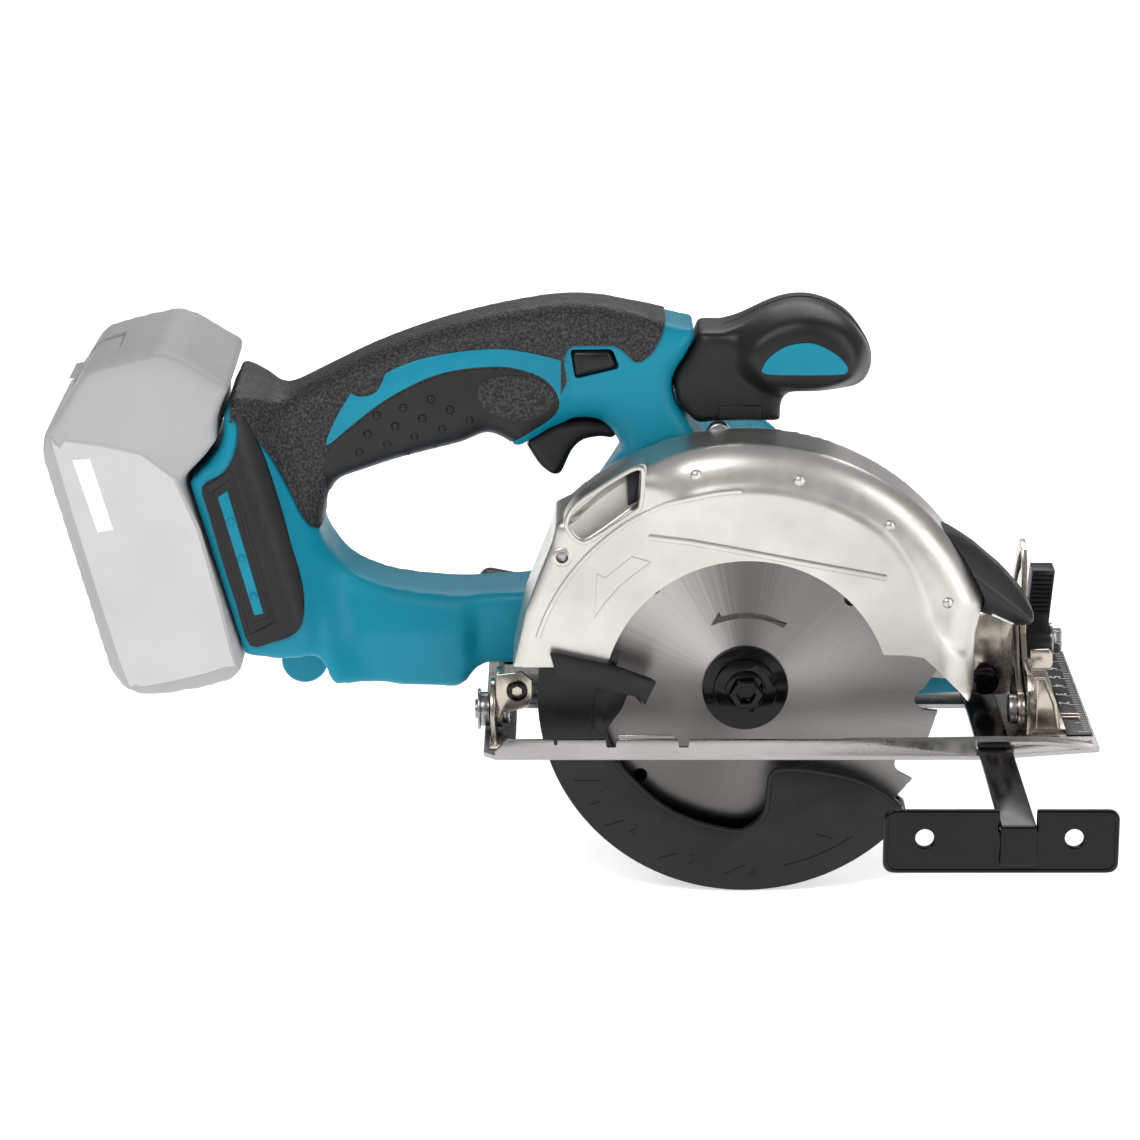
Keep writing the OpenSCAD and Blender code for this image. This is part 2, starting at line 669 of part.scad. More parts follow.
// ---- battery ----
pack_side = [[-177.4, 124.6], [-182.6, 113.6], [-182.8, 104], [-194.9, 90.6], [-175.2, 25.6],
    [-180, 18.4], [-205, 12.6], [-212, 12.4], [-218, 15.6], [-223, 22.5], [-244, 101.5],
    [-241, 109.4], [-234.6, 118.7], [-227, 129.9], [-212.3, 134.5], [-201, 137], [-194, 135]];
pack_hollow = [[-183.6, 113], [-196, 96], [-197.8, 91], [-181, 36], [-182, 21.6], [-205, 15.6],
    [-215, 17.6], [-220.4, 24], [-241, 101.5], [-234, 111], [-212, 115], [-190, 115]];
slide_dir = [-sin(mount_slant), cos(mount_slant)];
module pack_shell() {
    color(ghost) difference() {
        along_y(-pack_w / 2, pack_w / 2) polygon(pack_side);
        along_y(-pack_w / 2 + 2, pack_w / 2 - 2) polygon(pack_hollow);
        for (y = [-10.6, 7.4]) along_y(y, y + 3.2)
            polygon([[-192.4, 74], [-183, 77], [-160, 6], [-170, 1]]);
        translate([-240, -12, 117.8]) cube([22, 24, 18]);
    }
}
module pack_cells() {
    color(teal) for (i = [0:4], k = [0, 1])
        rod_y([-190.7, 33] + (i * 18.2) * slide_dir + k * 18.2 * [-slide_dir[1], slide_dir[0]], 9, -32, 32);
}
module pack_latch() {
    color(black) along_y(-11.6, 11.6) polygon([[-236, 121.4], [-218.4, 121.4], [-218.4, 131.6],
        [-227, 129], [-233, 121.9]]);
}

base_plate();
bevel_quadrant();
rear_bracket();
rip_scale();
fence_clamp();
fence_screw();
rip_fence();
front_tilt_bracket();
rear_tilt_bracket();
depth_guide();
bevel_pins();
depth_pivot_pin();
bevel_lever();
pivot_arm();
gear_housing();
gear_cover();
motor_housing();
motor_end_cover();
motor_can();
motor_magnets();
brush_holders();
blade_case();
case_screws();
lamp_housing();
lamp_lens();
shell_near();
shell_far();
shell_screws();
grip_rubber();
front_grip();
front_grip_insert();
mount_rubber();
terminal_block();
switch_unit();
gearbox_bearings();
motor_bearings();
depth_stud();
depth_lever();
spindle();
drive_gear();
inner_flange();
saw_blade();
outer_flange();
blade_bolt();
idler_gears();
armature();
commutator();
cooling_fan();
motor_pinion();
lower_guard();
guard_lever();
guard_spring();
trigger();
lock_off_button();
shaft_lock();
pack_shell();
pack_cells();
pack_latch();
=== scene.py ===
import bpy
import json
import math
import numpy as np
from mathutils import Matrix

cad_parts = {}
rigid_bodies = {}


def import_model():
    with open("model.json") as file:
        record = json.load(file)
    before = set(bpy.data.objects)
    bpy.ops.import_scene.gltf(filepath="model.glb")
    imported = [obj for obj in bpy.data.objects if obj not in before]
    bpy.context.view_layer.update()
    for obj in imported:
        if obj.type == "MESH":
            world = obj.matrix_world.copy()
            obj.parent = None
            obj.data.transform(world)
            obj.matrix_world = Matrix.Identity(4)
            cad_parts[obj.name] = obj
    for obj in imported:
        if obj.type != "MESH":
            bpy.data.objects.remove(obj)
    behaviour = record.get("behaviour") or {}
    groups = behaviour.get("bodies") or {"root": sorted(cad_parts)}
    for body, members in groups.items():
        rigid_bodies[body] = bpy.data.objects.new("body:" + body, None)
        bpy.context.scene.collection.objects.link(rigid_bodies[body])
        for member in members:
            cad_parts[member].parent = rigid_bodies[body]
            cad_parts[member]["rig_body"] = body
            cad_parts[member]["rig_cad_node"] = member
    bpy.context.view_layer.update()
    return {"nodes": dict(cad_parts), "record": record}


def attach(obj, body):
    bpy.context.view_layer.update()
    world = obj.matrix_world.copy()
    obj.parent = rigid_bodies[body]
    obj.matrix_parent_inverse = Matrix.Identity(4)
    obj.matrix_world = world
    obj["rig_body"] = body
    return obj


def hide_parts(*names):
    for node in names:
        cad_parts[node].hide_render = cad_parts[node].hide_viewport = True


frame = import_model()
nodes = frame["nodes"]
mm = 0.001
hub = (0.0, 17.0)  # the blade centre in X and Z
print("frame loaded,", len(nodes), "nodes")


# camera, floor and light
cameraLook = {"place": (-61.19, -1397.49, 462.36), "pitch": 16.5, "lens": 129.16, "sensor": 36,
              "clip": (0.01, 50)}
studioLook = {"floorZ": -56.0, "floorColour": "#fbfbfb", "floorGlow": 0.62, "floorSize": 30,
              "worldStrength": 0.34, "aim": (-0.06, 0, 0.05),
              "sky": ((0.0, (0.62, 0.62, 0.63, 1)), (0.55, (1, 1, 1, 1)))}
# the place and size of each light in metres, and its power
studioLights = {"keyLight": ((-0.9, -1.3, 1.5), (1.3, 1.0), 15.0),
                "fillLight": ((1.3, -1.0, 0.7), (0.7, 1.4), 9.0),
                "backLight": ((0.2, 1.3, 1.3), (1.6, 0.7), 12.0),
                "glintLight": ((-0.35, -1.1, 1.25), (0.16, 0.16), 3.0)}


def linear(hexCode):
    parts = [int(hexCode[i:i + 2], 16) / 255 for i in (1, 3, 5)]
    return [c / 12.92 if c <= 0.04045 else ((c + 0.055) / 1.055) ** 2.4 for c in parts] + [1.0]


def addNode(tree, kind, **values):
    node = tree.nodes.new(kind)
    for key, value in values.items():
        if hasattr(node, key):
            setattr(node, key, value)
        else:
            node.inputs[key.replace("_", " ")].default_value = value
    return node


def placeCamera():
    bpy.ops.object.camera_add(location=[c * mm for c in cameraLook["place"]],
                              rotation=(math.radians(90 - cameraLook["pitch"]), 0, 0))
    camera = bpy.context.object
    camera.data.sensor_width = cameraLook["sensor"]
    camera.data.lens = cameraLook["lens"]
    camera.data.clip_start, camera.data.clip_end = cameraLook["clip"]
    bpy.context.scene.camera = camera


def areaLight(name, place, size, power):
    bpy.ops.object.light_add(type="AREA", location=place)
    light = bpy.context.object
    light.name = name
    light.data.shape = "RECTANGLE"
    light.data.size, light.data.size_y = size
    light.data.energy = power
    way = light.location - type(light.location)(studioLook["aim"])
    light.rotation_euler = way.to_track_quat("Z", "Y").to_euler()


def setStudio():
    world = bpy.data.worlds.new("studio")
    bpy.context.scene.world = world
    world.use_nodes = True
    tree = world.node_tree
    background = tree.nodes["Background"]
    background.inputs["Strength"].default_value = studioLook["worldStrength"]
    direction = addNode(tree, "ShaderNodeTexCoord")
    split = addNode(tree, "ShaderNodeSeparateXYZ")
    ramp = addNode(tree, "ShaderNodeValToRGB")
    tree.links.new(direction.outputs["Generated"], split.inputs[0])
    tree.links.new(split.outputs["Z"], ramp.inputs["Fac"])
    tree.links.new(ramp.outputs["Color"], background.inputs["Color"])
    for stop, (at, colour) in zip(ramp.color_ramp.elements, studioLook["sky"]):
        stop.position = at
        stop.color = colour
    for name, light in studioLights.items():
        areaLight(name, *light)
    bpy.ops.mesh.primitive_plane_add(size=studioLook["floorSize"],
                                     location=(0, 0, studioLook["floorZ"] * mm))
    floor = bpy.context.object
    floor.name = "floor"
    paper = bpy.data.materials.new("floorPaper")
    paper.use_nodes = True
    shader = paper.node_tree.nodes["Principled BSDF"]
    shader.inputs["Base Color"].default_value = linear(studioLook["floorColour"])
    shader.inputs["Roughness"].default_value = 0.9
    shader.inputs["Emission Color"].default_value = (1, 1, 1, 1)
    shader.inputs["Emission Strength"].default_value = studioLook["floorGlow"]
    floor.data.materials.append(paper)
    bpy.context.scene.view_settings.view_transform = "Standard"


placeCamera()
setStudio()
print("camera and studio set")


# finishes
def startMaterial(name, shade, roughness, metallic=0.0):
    material = bpy.data.materials.new(name)
    material.use_nodes = True
    tree = material.node_tree
    shader = tree.nodes["Principled BSDF"]
    shader.inputs["Base Color"].default_value = linear(shade)
    shader.inputs["Roughness"].default_value = roughness
    shader.inputs["Metallic"].default_value = metallic
    place = addNode(tree, "ShaderNodeTexCoord").outputs["Object"]
    return material, tree, shader, place


def mottle(tree, place, shader, sizeMm, shadeA, shadeB, detail=4.0, spread=(0.35, 0.65)):
    noise = addNode(tree, "ShaderNodeTexNoise", Scale=1000 / sizeMm, Detail=detail, Roughness=0.6)
    ramp = addNode(tree, "ShaderNodeValToRGB")
    ramp.color_ramp.elements[0].position = spread[0]
    ramp.color_ramp.elements[1].position = spread[1]
    ramp.color_ramp.elements[0].color = linear(shadeA)
    ramp.color_ramp.elements[1].color = linear(shadeB)
    tree.links.new(place, noise.inputs["Vector"])
    tree.links.new(noise.outputs["Fac"], ramp.inputs["Fac"])
    tree.links.new(ramp.outputs["Color"], shader.inputs["Base Color"])


def smudge(tree, place, shader, sizeMm, low, high):
    noise = addNode(tree, "ShaderNodeTexNoise", Scale=1000 / sizeMm, Detail=5.0, Roughness=0.65)
    spread = addNode(tree, "ShaderNodeMapRange", From_Min=0.3, From_Max=0.7,
                     To_Min=low, To_Max=high)
    tree.links.new(place, noise.inputs["Vector"])
    tree.links.new(noise.outputs["Fac"], spread.inputs["Value"])
    tree.links.new(spread.outputs["Result"], shader.inputs["Roughness"])


def grain(tree, place, under, sizeMm, depthMm, cells=False, stretch=(1, 1, 1)):
    # a bump that lies over the one under it
    squeeze = addNode(tree, "ShaderNodeMapping", Scale=stretch)
    tree.links.new(place, squeeze.inputs["Vector"])
    if cells:
        texture = addNode(tree, "ShaderNodeTexVoronoi", feature="SMOOTH_F1", Scale=1000 / sizeMm)
        height = texture.outputs["Distance"]
    else:
        texture = addNode(tree, "ShaderNodeTexNoise", Scale=1000 / sizeMm, Detail=3.0,
                          Roughness=0.55)
        height = texture.outputs["Fac"]
    tree.links.new(squeeze.outputs["Vector"], texture.inputs["Vector"])
    bump = addNode(tree, "ShaderNodeBump", Strength=1.0, Distance=depthMm * mm)
    bump.invert = cells
    tree.links.new(height, bump.inputs["Height"])
    if under:
        tree.links.new(under.outputs["Normal"], bump.inputs["Normal"])
    return bump


specular = "Specular IOR Level"
# start is colour, roughness and metal; mottle is size and two colours; smudge is size and the
# roughness from and to; grains are sizes and depths from the innermost out. Sizes are in mm,
# and the finest grains are drawn coarser than the real ones so that they show.
finishLook = {
    # injection-moulded ABS from a spark-eroded mould: satin teal with a fine dry grain
    "tealAbs": {"start": ("#00809a", 0.38), "mottle": (60, "#007b93", "#0086a0"),
                "smudge": (14, 0.36, 0.50), "sockets": {specular: 0.28},
                "grains": [(0.35, 0.02), (9, 0.05)]},
    # overmoulded thermoplastic elastomer, pebbled in the mould: soft dark grey, broad highlights; the pale
    # speckle in its mottle is painted glints on the pebbles
    "gripRubber": {"start": ("#1c1b1c", 0.5),
                   "mottle": (0.9, "#1a191a", "#484748", 1.0, (0.4, 0.74)),
                   "smudge": (10, 0.46, 0.62), "sockets": {specular: 0.32},
                   "grains": [(1.0, 0.24, True), (0.3, 0.015)]},
    # the same elastomer where the mould is only matt
    "smoothRubber": {"start": ("#1a191a", 0.4), "mottle": (30, "#161516", "#1e1d1e"),
                     "smudge": (12, 0.34, 0.46), "sockets": {specular: 0.34},
                     "grains": [(0.5, 0.02)]},
    # glass-filled nylon, moulded: near black, faint flow marks and a low gloss
    "blackNylon": {"start": ("#0f0f0f", 0.34), "mottle": (22, "#0c0c0c", "#131314"),
                   "smudge": (8, 0.26, 0.44), "sockets": {specular: 0.34},
                   "grains": [(5, 0.03, False, (1, 1, 0.35)), (0.25, 0.012)]},
    # pressure-cast alloy, tumbled and clear-lacquered: pale satin metal, faint orange-peel
    "castSilver": {"start": ("#c9c6bf", 0.34, 0.9), "mottle": (45, "#c1beb7", "#d2cfc9"),
                   "smudge": (16, 0.28, 0.42), "grains": [(2.2, 0.02), (0.4, 0.008)]},
    # cold-rolled sheet, pressed and zinc-plated: grey, fine rolling lines along its length
    "pressedSteel": {"start": ("#b4b3b0", 0.30, 1.0), "mottle": (18, "#9e9c99", "#a7a5a2"),
                     "smudge": (9, 0.20, 0.40),
                     "grains": [(0.5, 0.012, False, (0.04, 1, 1)), (6, 0.004)]},
    # stamped steel with bright nickel: warmer and glossier than zinc, with stamping ripple
    "nickelSteel": {"start": ("#b9b0a4", 0.22, 1.0), "mottle": (12, "#b2a99d", "#bfb7ab"),
                    "smudge": (6, 0.14, 0.32), "grains": [(7, 0.008), (0.5, 0.008)]},
    # turned and ground bar: mid grey, tool lines round the axis
    "turnedSteel": {"start": ("#a5a5a6", 0.28, 1.0), "mottle": (8, "#959596", "#b3b3b4"),
                    "smudge": (4, 0.2, 0.36), "grains": [(0.3, 0.01, False, (1, 0.1, 1))]},
    # stoved gloss enamel on sheet steel: deep black, glossy with slight waves
    "blackEnamel": {"start": ("#050505", 0.18), "mottle": (20, "#030303", "#070707"),
                    "smudge": (10, 0.10, 0.22), "grains": [(2.5, 0.008)],
                    "sockets": {specular: 0.2, "Coat Weight": 0.1, "Coat Roughness": 0.08}},
    # pale polycarbonate-ABS blend, moulded: a light spark grain
    "packGrey": {"start": ("#a6a6a7", 0.5), "mottle": (50, "#a3a3a4", "#aaaaab"),
                 "smudge": (14, 0.44, 0.58), "grains": [(0.5, 0.03)]},
    # the same blend on the pack's side panel, with a coarser spark grain, painted a shade lighter than the
    # top: painted light on the side seen lit
    "packSidePaintedLight": {"start": ("#c2c2c3", 0.55), "mottle": (40, "#bfbfc0", "#c6c6c7"),
                 "smudge": (12, 0.48, 0.6), "grains": [(0.6, 0.04)]},
    # moulded nylon with a leather-fine spark grain: dark grey and satin
    "satinBlack": {"start": ("#252526", 0.34), "mottle": (18, "#202021", "#2b2b2c"),
                   "smudge": (7, 0.32, 0.48), "sockets": {specular: 0.4},
                   "grains": [(0.5, 0.03)]},
    # white screen-printed figures: chalky and flat
    "scalePrint": {"start": ("#e8e8e6", 0.5), "mottle": (2, "#d8d8d6", "#f4f4f2"),
                   "grains": [(0.4, 0.01)]},
    # grey etching ink on the saw plate: worn thin in places
    "bladePrint": {"start": ("#3f3d3c", 0.55, 0.3), "mottle": (2, "#363433", "#4c4a48"),
                   "grains": [(0.5, 0.01)]},
    # blank polyester sticker: white and satin
    "blankLabel": {"start": ("#f2f2f2", 0.32), "mottle": (25, "#eeeeee", "#f6f6f6"),
                   "grains": [(3, 0.01)]},
    # frosted polycarbonate lens, moulded: pale with fine cells
    "lampGlass": {"start": ("#e9edf0", 0.18), "mottle": (4, "#dfe4e8", "#f3f6f8"),
                  "grains": [(1.2, 0.05, True)]},
    # drawn copper bars: slightly toned
    "copperWire": {"start": ("#b97a55", 0.3, 1.0), "mottle": (5, "#a66a47", "#c98a63"),
                   "grains": [(0.4, 0.01)]},
    # stamped brass strip: warm and satin
    "brassStamp": {"start": ("#b9a05a", 0.3, 1.0), "mottle": (5, "#a8904c", "#c9b06a"),
                   "grains": [(0.4, 0.01)]},
    # sintered ferrite: dull and slightly porous
    "magnetGrey": {"start": ("#3a3b3d", 0.6), "mottle": (3, "#333436", "#434446"),
                   "grains": [(0.4, 0.03)]},
}
# the fans are painted highlights and painted shade, given as colour stops round the hub; the streaks blur
# their edges
bladeFinish = {"ringScale": 3000.0, "ringDepth": 0.006, "streakScale": 40.0, "streakShare": 0.06,
               "turnShift": 0.47, "brushed": 0.75,
               "paintedLightFans": [(0.0, "#7d7a78"), (0.17, "#63615f"), (0.33, "#747270"), (0.54, "#9f9c99"),
                        (0.66, "#7d7a78"), (0.75, "#5f5d5b"), (0.88, "#b3afac"), (1.0, "#7d7a78")]}


def plainFinish(name):
    look = finishLook[name]
    material, tree, shader, place = startMaterial(name, *look["start"])
    mottle(tree, place, shader, *look["mottle"])
    if "smudge" in look:
        smudge(tree, place, shader, *look["smudge"])
    for socket, value in look.get("sockets", {}).items():
        shader.inputs[socket].default_value = value
    layer = None
    for sizes in look["grains"]:
        layer = grain(tree, place, layer, *sizes)
    tree.links.new(layer.outputs["Normal"], shader.inputs["Normal"])
    return material


def groundSteel():
    # saw plate ground in rings on a rotary table: the rings are bumps, and the fans of light that run out
    # from the hub are painted highlights in its colour
    material, tree, shader, place = startMaterial("groundSteel", "#8f8d8b", 0.36, metallic=1.0)
    centred = addNode(tree, "ShaderNodeMapping", Location=(0, 0, -hub[1] * mm))
    tree.links.new(place, centred.inputs["Vector"])
    split = addNode(tree, "ShaderNodeSeparateXYZ")
    tree.links.new(centred.outputs["Vector"], split.inputs[0])
    flat = addNode(tree, "ShaderNodeCombineXYZ")
    tree.links.new(split.outputs["X"], flat.inputs["X"])
    tree.links.new(split.outputs["Z"], flat.inputs["Y"])
    radius = addNode(tree, "ShaderNodeVectorMath", operation="LENGTH")
    tree.links.new(flat.outputs["Vector"], radius.inputs[0])
    rings = addNode(tree, "ShaderNodeTexNoise", noise_dimensions="1D",
                    Scale=bladeFinish["ringScale"], Detail=4.0)
    tree.links.new(radius.outputs["Value"], rings.inputs["W"])
    bump = addNode(tree, "ShaderNodeBump", Strength=0.5, Distance=bladeFinish["ringDepth"] * mm)
    tree.links.new(rings.outputs["Fac"], bump.inputs["Height"])
    tree.links.new(bump.outputs["Normal"], shader.inputs["Normal"])
    # painted highlights and painted shade: the bright fans and the fine streaks between them are painted
    # into the colour and depend only on the way out from the hub
    heading = addNode(tree, "ShaderNodeVectorMath", operation="NORMALIZE")
    tree.links.new(flat.outputs["Vector"], heading.inputs[0])
    streaks = addNode(tree, "ShaderNodeTexNoise", Scale=bladeFinish["streakScale"], Detail=3.0,
                      Roughness=0.6)
    tree.links.new(heading.outputs["Vector"], streaks.inputs["Vector"])
    turn = addNode(tree, "ShaderNodeMath", operation="ARCTAN2")
    tree.links.new(split.outputs["Z"], turn.inputs[0])
    tree.links.new(split.outputs["X"], turn.inputs[1])
    share = addNode(tree, "ShaderNodeMath", operation="MULTIPLY_ADD")
    share.inputs[1].default_value = 1 / (2 * math.pi)
    share.inputs[2].default_value = bladeFinish["turnShift"]
    tree.links.new(turn.outputs["Value"], share.inputs[0])
    blend = addNode(tree, "ShaderNodeMath", operation="MULTIPLY_ADD")
    blend.inputs[1].default_value = bladeFinish["streakShare"]
    tree.links.new(streaks.outputs["Fac"], blend.inputs[0])
    tree.links.new(share.outputs["Value"], blend.inputs[2])
    ramp = addNode(tree, "ShaderNodeValToRGB")
    stops = bladeFinish["paintedLightFans"]
    for at, shade in stops[1:-1]:
        ramp.color_ramp.elements.new(at).color = linear(shade)
    ramp.color_ramp.elements[0].color = linear(stops[0][1])
    ramp.color_ramp.elements[len(stops) - 1].color = linear(stops[-1][1])
    ramp.color_ramp.interpolation = "EASE"
    tree.links.new(blend.outputs["Value"], ramp.inputs["Fac"])
    tree.links.new(ramp.outputs["Color"], shader.inputs["Base Color"])
    shader.inputs["Anisotropic"].default_value = bladeFinish["brushed"]
    tangent = addNode(tree, "ShaderNodeTangent", direction_type="RADIAL", axis="Y")
    tree.links.new(tangent.outputs["Tangent"], shader.inputs["Tangent"])
    return material


slotFinishes = {
    "teal_plastic": "tealAbs", "black_rubber": "gripRubber", "black_plastic": "blackNylon",
    "cast_silver": "castSilver", "pressed_steel": "pressedSteel", "nickel_steel": "nickelSteel",
    "machined_steel": "turnedSteel", "blade_steel": "groundSteel", "black_steel": "blackEnamel",
    "scale_black": "blackNylon", "magnet": "magnetGrey", "copper": "copperWire",
    "brass": "brassStamp", "lens": "lampGlass", "pack_grey": "packGrey", "cell_wrap": "tealAbs",
    "pack_dark": "packGrey", "smooth_rubber": "smoothRubber", "grip_pebble": "gripRubber",
    "pack_side": "packSidePaintedLight", "blank_label": "blankLabel", "satin_black": "satinBlack",
    "scale_print": "scalePrint", "blade_print": "bladePrint",
}
finishes = {slotName: groundSteel() if finish == "groundSteel" else plainFinish(finish)
            for slotName, finish in slotFinishes.items()}
for node in nodes.values():
    for held in node.material_slots:
        held.material = finishes[held.material.name]
print("finishes made")


# working helpers
def clearSelection():
    if bpy.context.object and bpy.context.object.mode != "OBJECT":
        bpy.ops.object.mode_set(mode="OBJECT")
    for picked in list(bpy.context.selected_objects):
        picked.select_set(False)


def makeActive(piece):
    clearSelection()
    piece.select_set(True)
    bpy.context.view_layer.objects.active = piece


def curved(points, steps=4, closed=False):
    count = len(points)
    if closed:
        points = [points[-1]] + list(points) + list(points[:2])
        spans = range(1, count + 1)
    else:
        points = [points[0]] + list(points) + [points[-1]]
        spans = range(1, count)
    out = []
    for i in spans:
        p, q, r, s = (np.array(points[j], dtype=float) for j in (i - 1, i, i + 1, i + 2))
        for k in range(steps):
            t = k / steps
            out.append(tuple(0.5 * (2 * q + (r - p) * t + (2 * p - 5 * q + 4 * r - s) * t * t
                                    + (3 * q - p - 3 * r + s) * t ** 3)))
    if not closed:
        out.append(tuple(float(c) for c in points[-2]))
    return out


def around(centre, radius, turn):
    a = math.radians(turn)
    return (centre[0] + radius * math.cos(a), centre[1] + radius * math.sin(a))


def arcPoints(centre, radius, start, end, count):
    return [around(centre, radius, start + (end - start) * i / count) for i in range(count + 1)]


def atDepth(points, y):
    return [(x, y, z) for x, z in points]


def onAxis(axis, along, a, b):
    return {"x": (along, a, b), "y": (a, along, b), "z": (a, b, along)}[axis]


def edited(piece, *changes):
    # edit-mode changes, each made to the whole mesh
    makeActive(piece)
    bpy.ops.object.mode_set(mode="EDIT")
    for change in changes:
        bpy.ops.mesh.select_all(action="SELECT")
        change()
    bpy.ops.object.mode_set(mode="OBJECT")
    return piece


def faceOutward():
    bpy.ops.mesh.normals_make_consistent(inside=False)


def traced(name, outline, low, high, axis="y"):
    # an outline filled and extruded along one axis
    clearSelection()
    bpy.ops.mesh.primitive_circle_add(vertices=len(outline), radius=mm, fill_type="NGON")
    piece = bpy.context.object
    piece.name = name
    for vertex, (a, b) in zip(piece.data.vertices, outline):
        vertex.co = [c * mm for c in onAxis(axis, low, a, b)]
    push = {"value": [c * mm for c in onAxis(axis, high - low, 0, 0)]}
    return edited(piece, lambda: bpy.ops.mesh.extrude_region_move(TRANSFORM_OT_translate=push),
                  faceOutward)


def rod(name, centre, radius, low, high, axis="y", sides=40):
    spot = onAxis(axis, (low + high) / 2, *centre)
    turn = {"y": (math.pi / 2, 0, 0), "x": (0, math.pi / 2, 0)}[axis]
    clearSelection()
    bpy.ops.mesh.primitive_cylinder_add(vertices=sides, radius=radius * mm,
                                        depth=(high - low) * mm,
                                        location=[c * mm for c in spot], rotation=turn)
    bpy.ops.object.transform_apply(location=True, rotation=True, scale=True)
    piece = bpy.context.object
    piece.name = name
    return piece


def applyModifier(piece, kind, **values):
    makeActive(piece)
    modifier = piece.modifiers.new("step", kind)
    for key, value in values.items():
        setattr(modifier, key, value)
    bpy.ops.object.modifier_apply(modifier=modifier.name)
    return piece


def eased(piece, width, segments=2, angle=30):
    # breaks the corners sharper than the angle
    return applyModifier(piece, "BEVEL", width=width * mm, segments=segments,
                         limit_method="ANGLE", angle_limit=math.radians(angle),
                         use_clamp_overlap=True)


def combined(piece, other, operation):
    applyModifier(piece, "BOOLEAN", object=other, operation=operation, solver="EXACT")
    bpy.data.objects.remove(other)
    return piece


def cutBy(piece, other):
    return combined(piece, other, "DIFFERENCE")


def shaded(piece, angle=35):
    makeActive(piece)
    bpy.ops.object.shade_smooth_by_angle(angle=math.radians(angle))
    return piece


def joined(name, *parts):
    clearSelection()
    for part in parts:
        part.select_set(True)
    bpy.context.view_layer.objects.active = parts[0]
    if len(parts) > 1:
        bpy.ops.object.join()
    parts[0].name = name
    return parts[0]


def copied(piece, name):
    twin = piece.copy()
    twin.data = piece.data.copy()
    twin.name = name
    bpy.context.scene.collection.objects.link(twin)
    return twin


def cutEach(pieces, other):
    for piece in pieces:
        cutBy(piece, copied(other, "cutterCopy"))
    bpy.data.objects.remove(other)


def ridge(name, points, radius, flat=1.0, closed=False):
    # a raised bead that follows a line of points
    clearSelection()
    line = bpy.data.curves.new(name, "CURVE")
    line.dimensions = "3D"
    line.bevel_depth = radius * mm
    line.bevel_resolution = 2
    line.use_fill_caps = True
    run = line.splines.new("POLY")
    run.points.add(len(points) - 1)
    for knot, spot in zip(run.points, points):
        knot.co = [c * mm for c in spot] + [1]
    run.use_cyclic_u = closed
    holder = bpy.data.objects.new(name, line)
    bpy.context.scene.collection.objects.link(holder)
    makeActive(holder)
    bpy.ops.object.convert(target="MESH")
    piece = bpy.context.object
    level = sum(p[1] for p in points) / len(points) * mm
    if flat != 1.0:
        for vertex in piece.data.vertices:
            vertex.co.y = level + (vertex.co.y - level) * flat
    return piece


def dome(name, centre, radius, height):
    # a shallow button that stands off a wall facing along Y
    clearSelection()
    bpy.ops.mesh.primitive_uv_sphere_add(segments=16, ring_count=8, radius=radius * mm,
                                         location=[c * mm for c in centre])
    piece = bpy.context.object
    piece.name = name
    bpy.ops.object.transform_apply(location=True, rotation=True, scale=True)
    for vertex in piece.data.vertices:
        vertex.co.y = centre[1] * mm + (vertex.co.y - centre[1] * mm) * height / radius
    return piece


def finished(piece, body, slotName, material=None, stands=(), smooth=35):
    shaded(piece, smooth)
    piece.data.materials.clear()
    piece.data.materials.append(finishes[material or slotName])
    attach(piece, body)
    if stands:
        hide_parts(*stands)
    return piece


def distanceTo(lines, spots, closed=True):
    best = np.full(len(spots), 1e9)
    for line in lines:
        corners = np.array(line)
        spans = list(zip(corners, np.roll(corners, -1, axis=0)))
        for p, q in spans if closed else spans[:-1]:
            edge = q - p
            long = max(float(edge @ edge), 1e-9)
            t = np.clip((spots - p) @ edge / long, 0, 1)
            away = spots - (p + t[:, None] * edge)
            best = np.minimum(best, np.sqrt((away ** 2).sum(axis=1)))
    return best


def smoothStep(value, low, high):
    t = np.clip((value - low) / (high - low), 0, 1)
    return t * t * (3 - 2 * t)


def everywhere(value):
    return lambda spots: np.full(len(spots), value)


def readPlaces(piece):
    places = np.empty(len(piece.data.vertices) * 3)
    piece.data.vertices.foreach_get("co", places)
    return places.reshape(-1, 3) / mm


def remeshed(piece, voxel):
    return applyModifier(piece, "REMESH", mode="VOXEL", voxel_size=voxel * mm)


def resettled(piece, places, voxel, passes):
    # moves the points, then evens the mesh out and softens it
    piece.data.vertices.foreach_set("co", (places * mm).reshape(-1))
    piece.data.update()
    remeshed(piece, voxel)
    return applyModifier(piece, "SMOOTH", factor=0.5, iterations=passes)


rollShare = 0.85  # how far in a rolled rim comes, as a share of its radius


def rounded(piece, loops, halfWidth, radius, voxel, passes):
    # swells a thin slab to its half width everywhere and rolls its rim over to the radius
    places = readPlaces(remeshed(piece, voxel))
    spots = places[:, (0, 2)]
    roll = radius(spots)
    t = 1 - np.clip(distanceTo(loops, spots) / roll, 0, 1)
    height = halfWidth(spots) - rollShare * roll * (1 - np.sqrt(np.clip(1 - t * t, 0, 1)))
    slab = np.abs(places[:, 1]).max()
    places[:, 1] = np.clip(places[:, 1] / (slab * 0.8), -1, 1) * height
    return resettled(piece, places, voxel, passes)


def grown(piece, name, proud):
    twin = copied(piece, name)
    applyModifier(twin, "DISPLACE", strength=proud * mm, mid_level=0.0)
    return twin


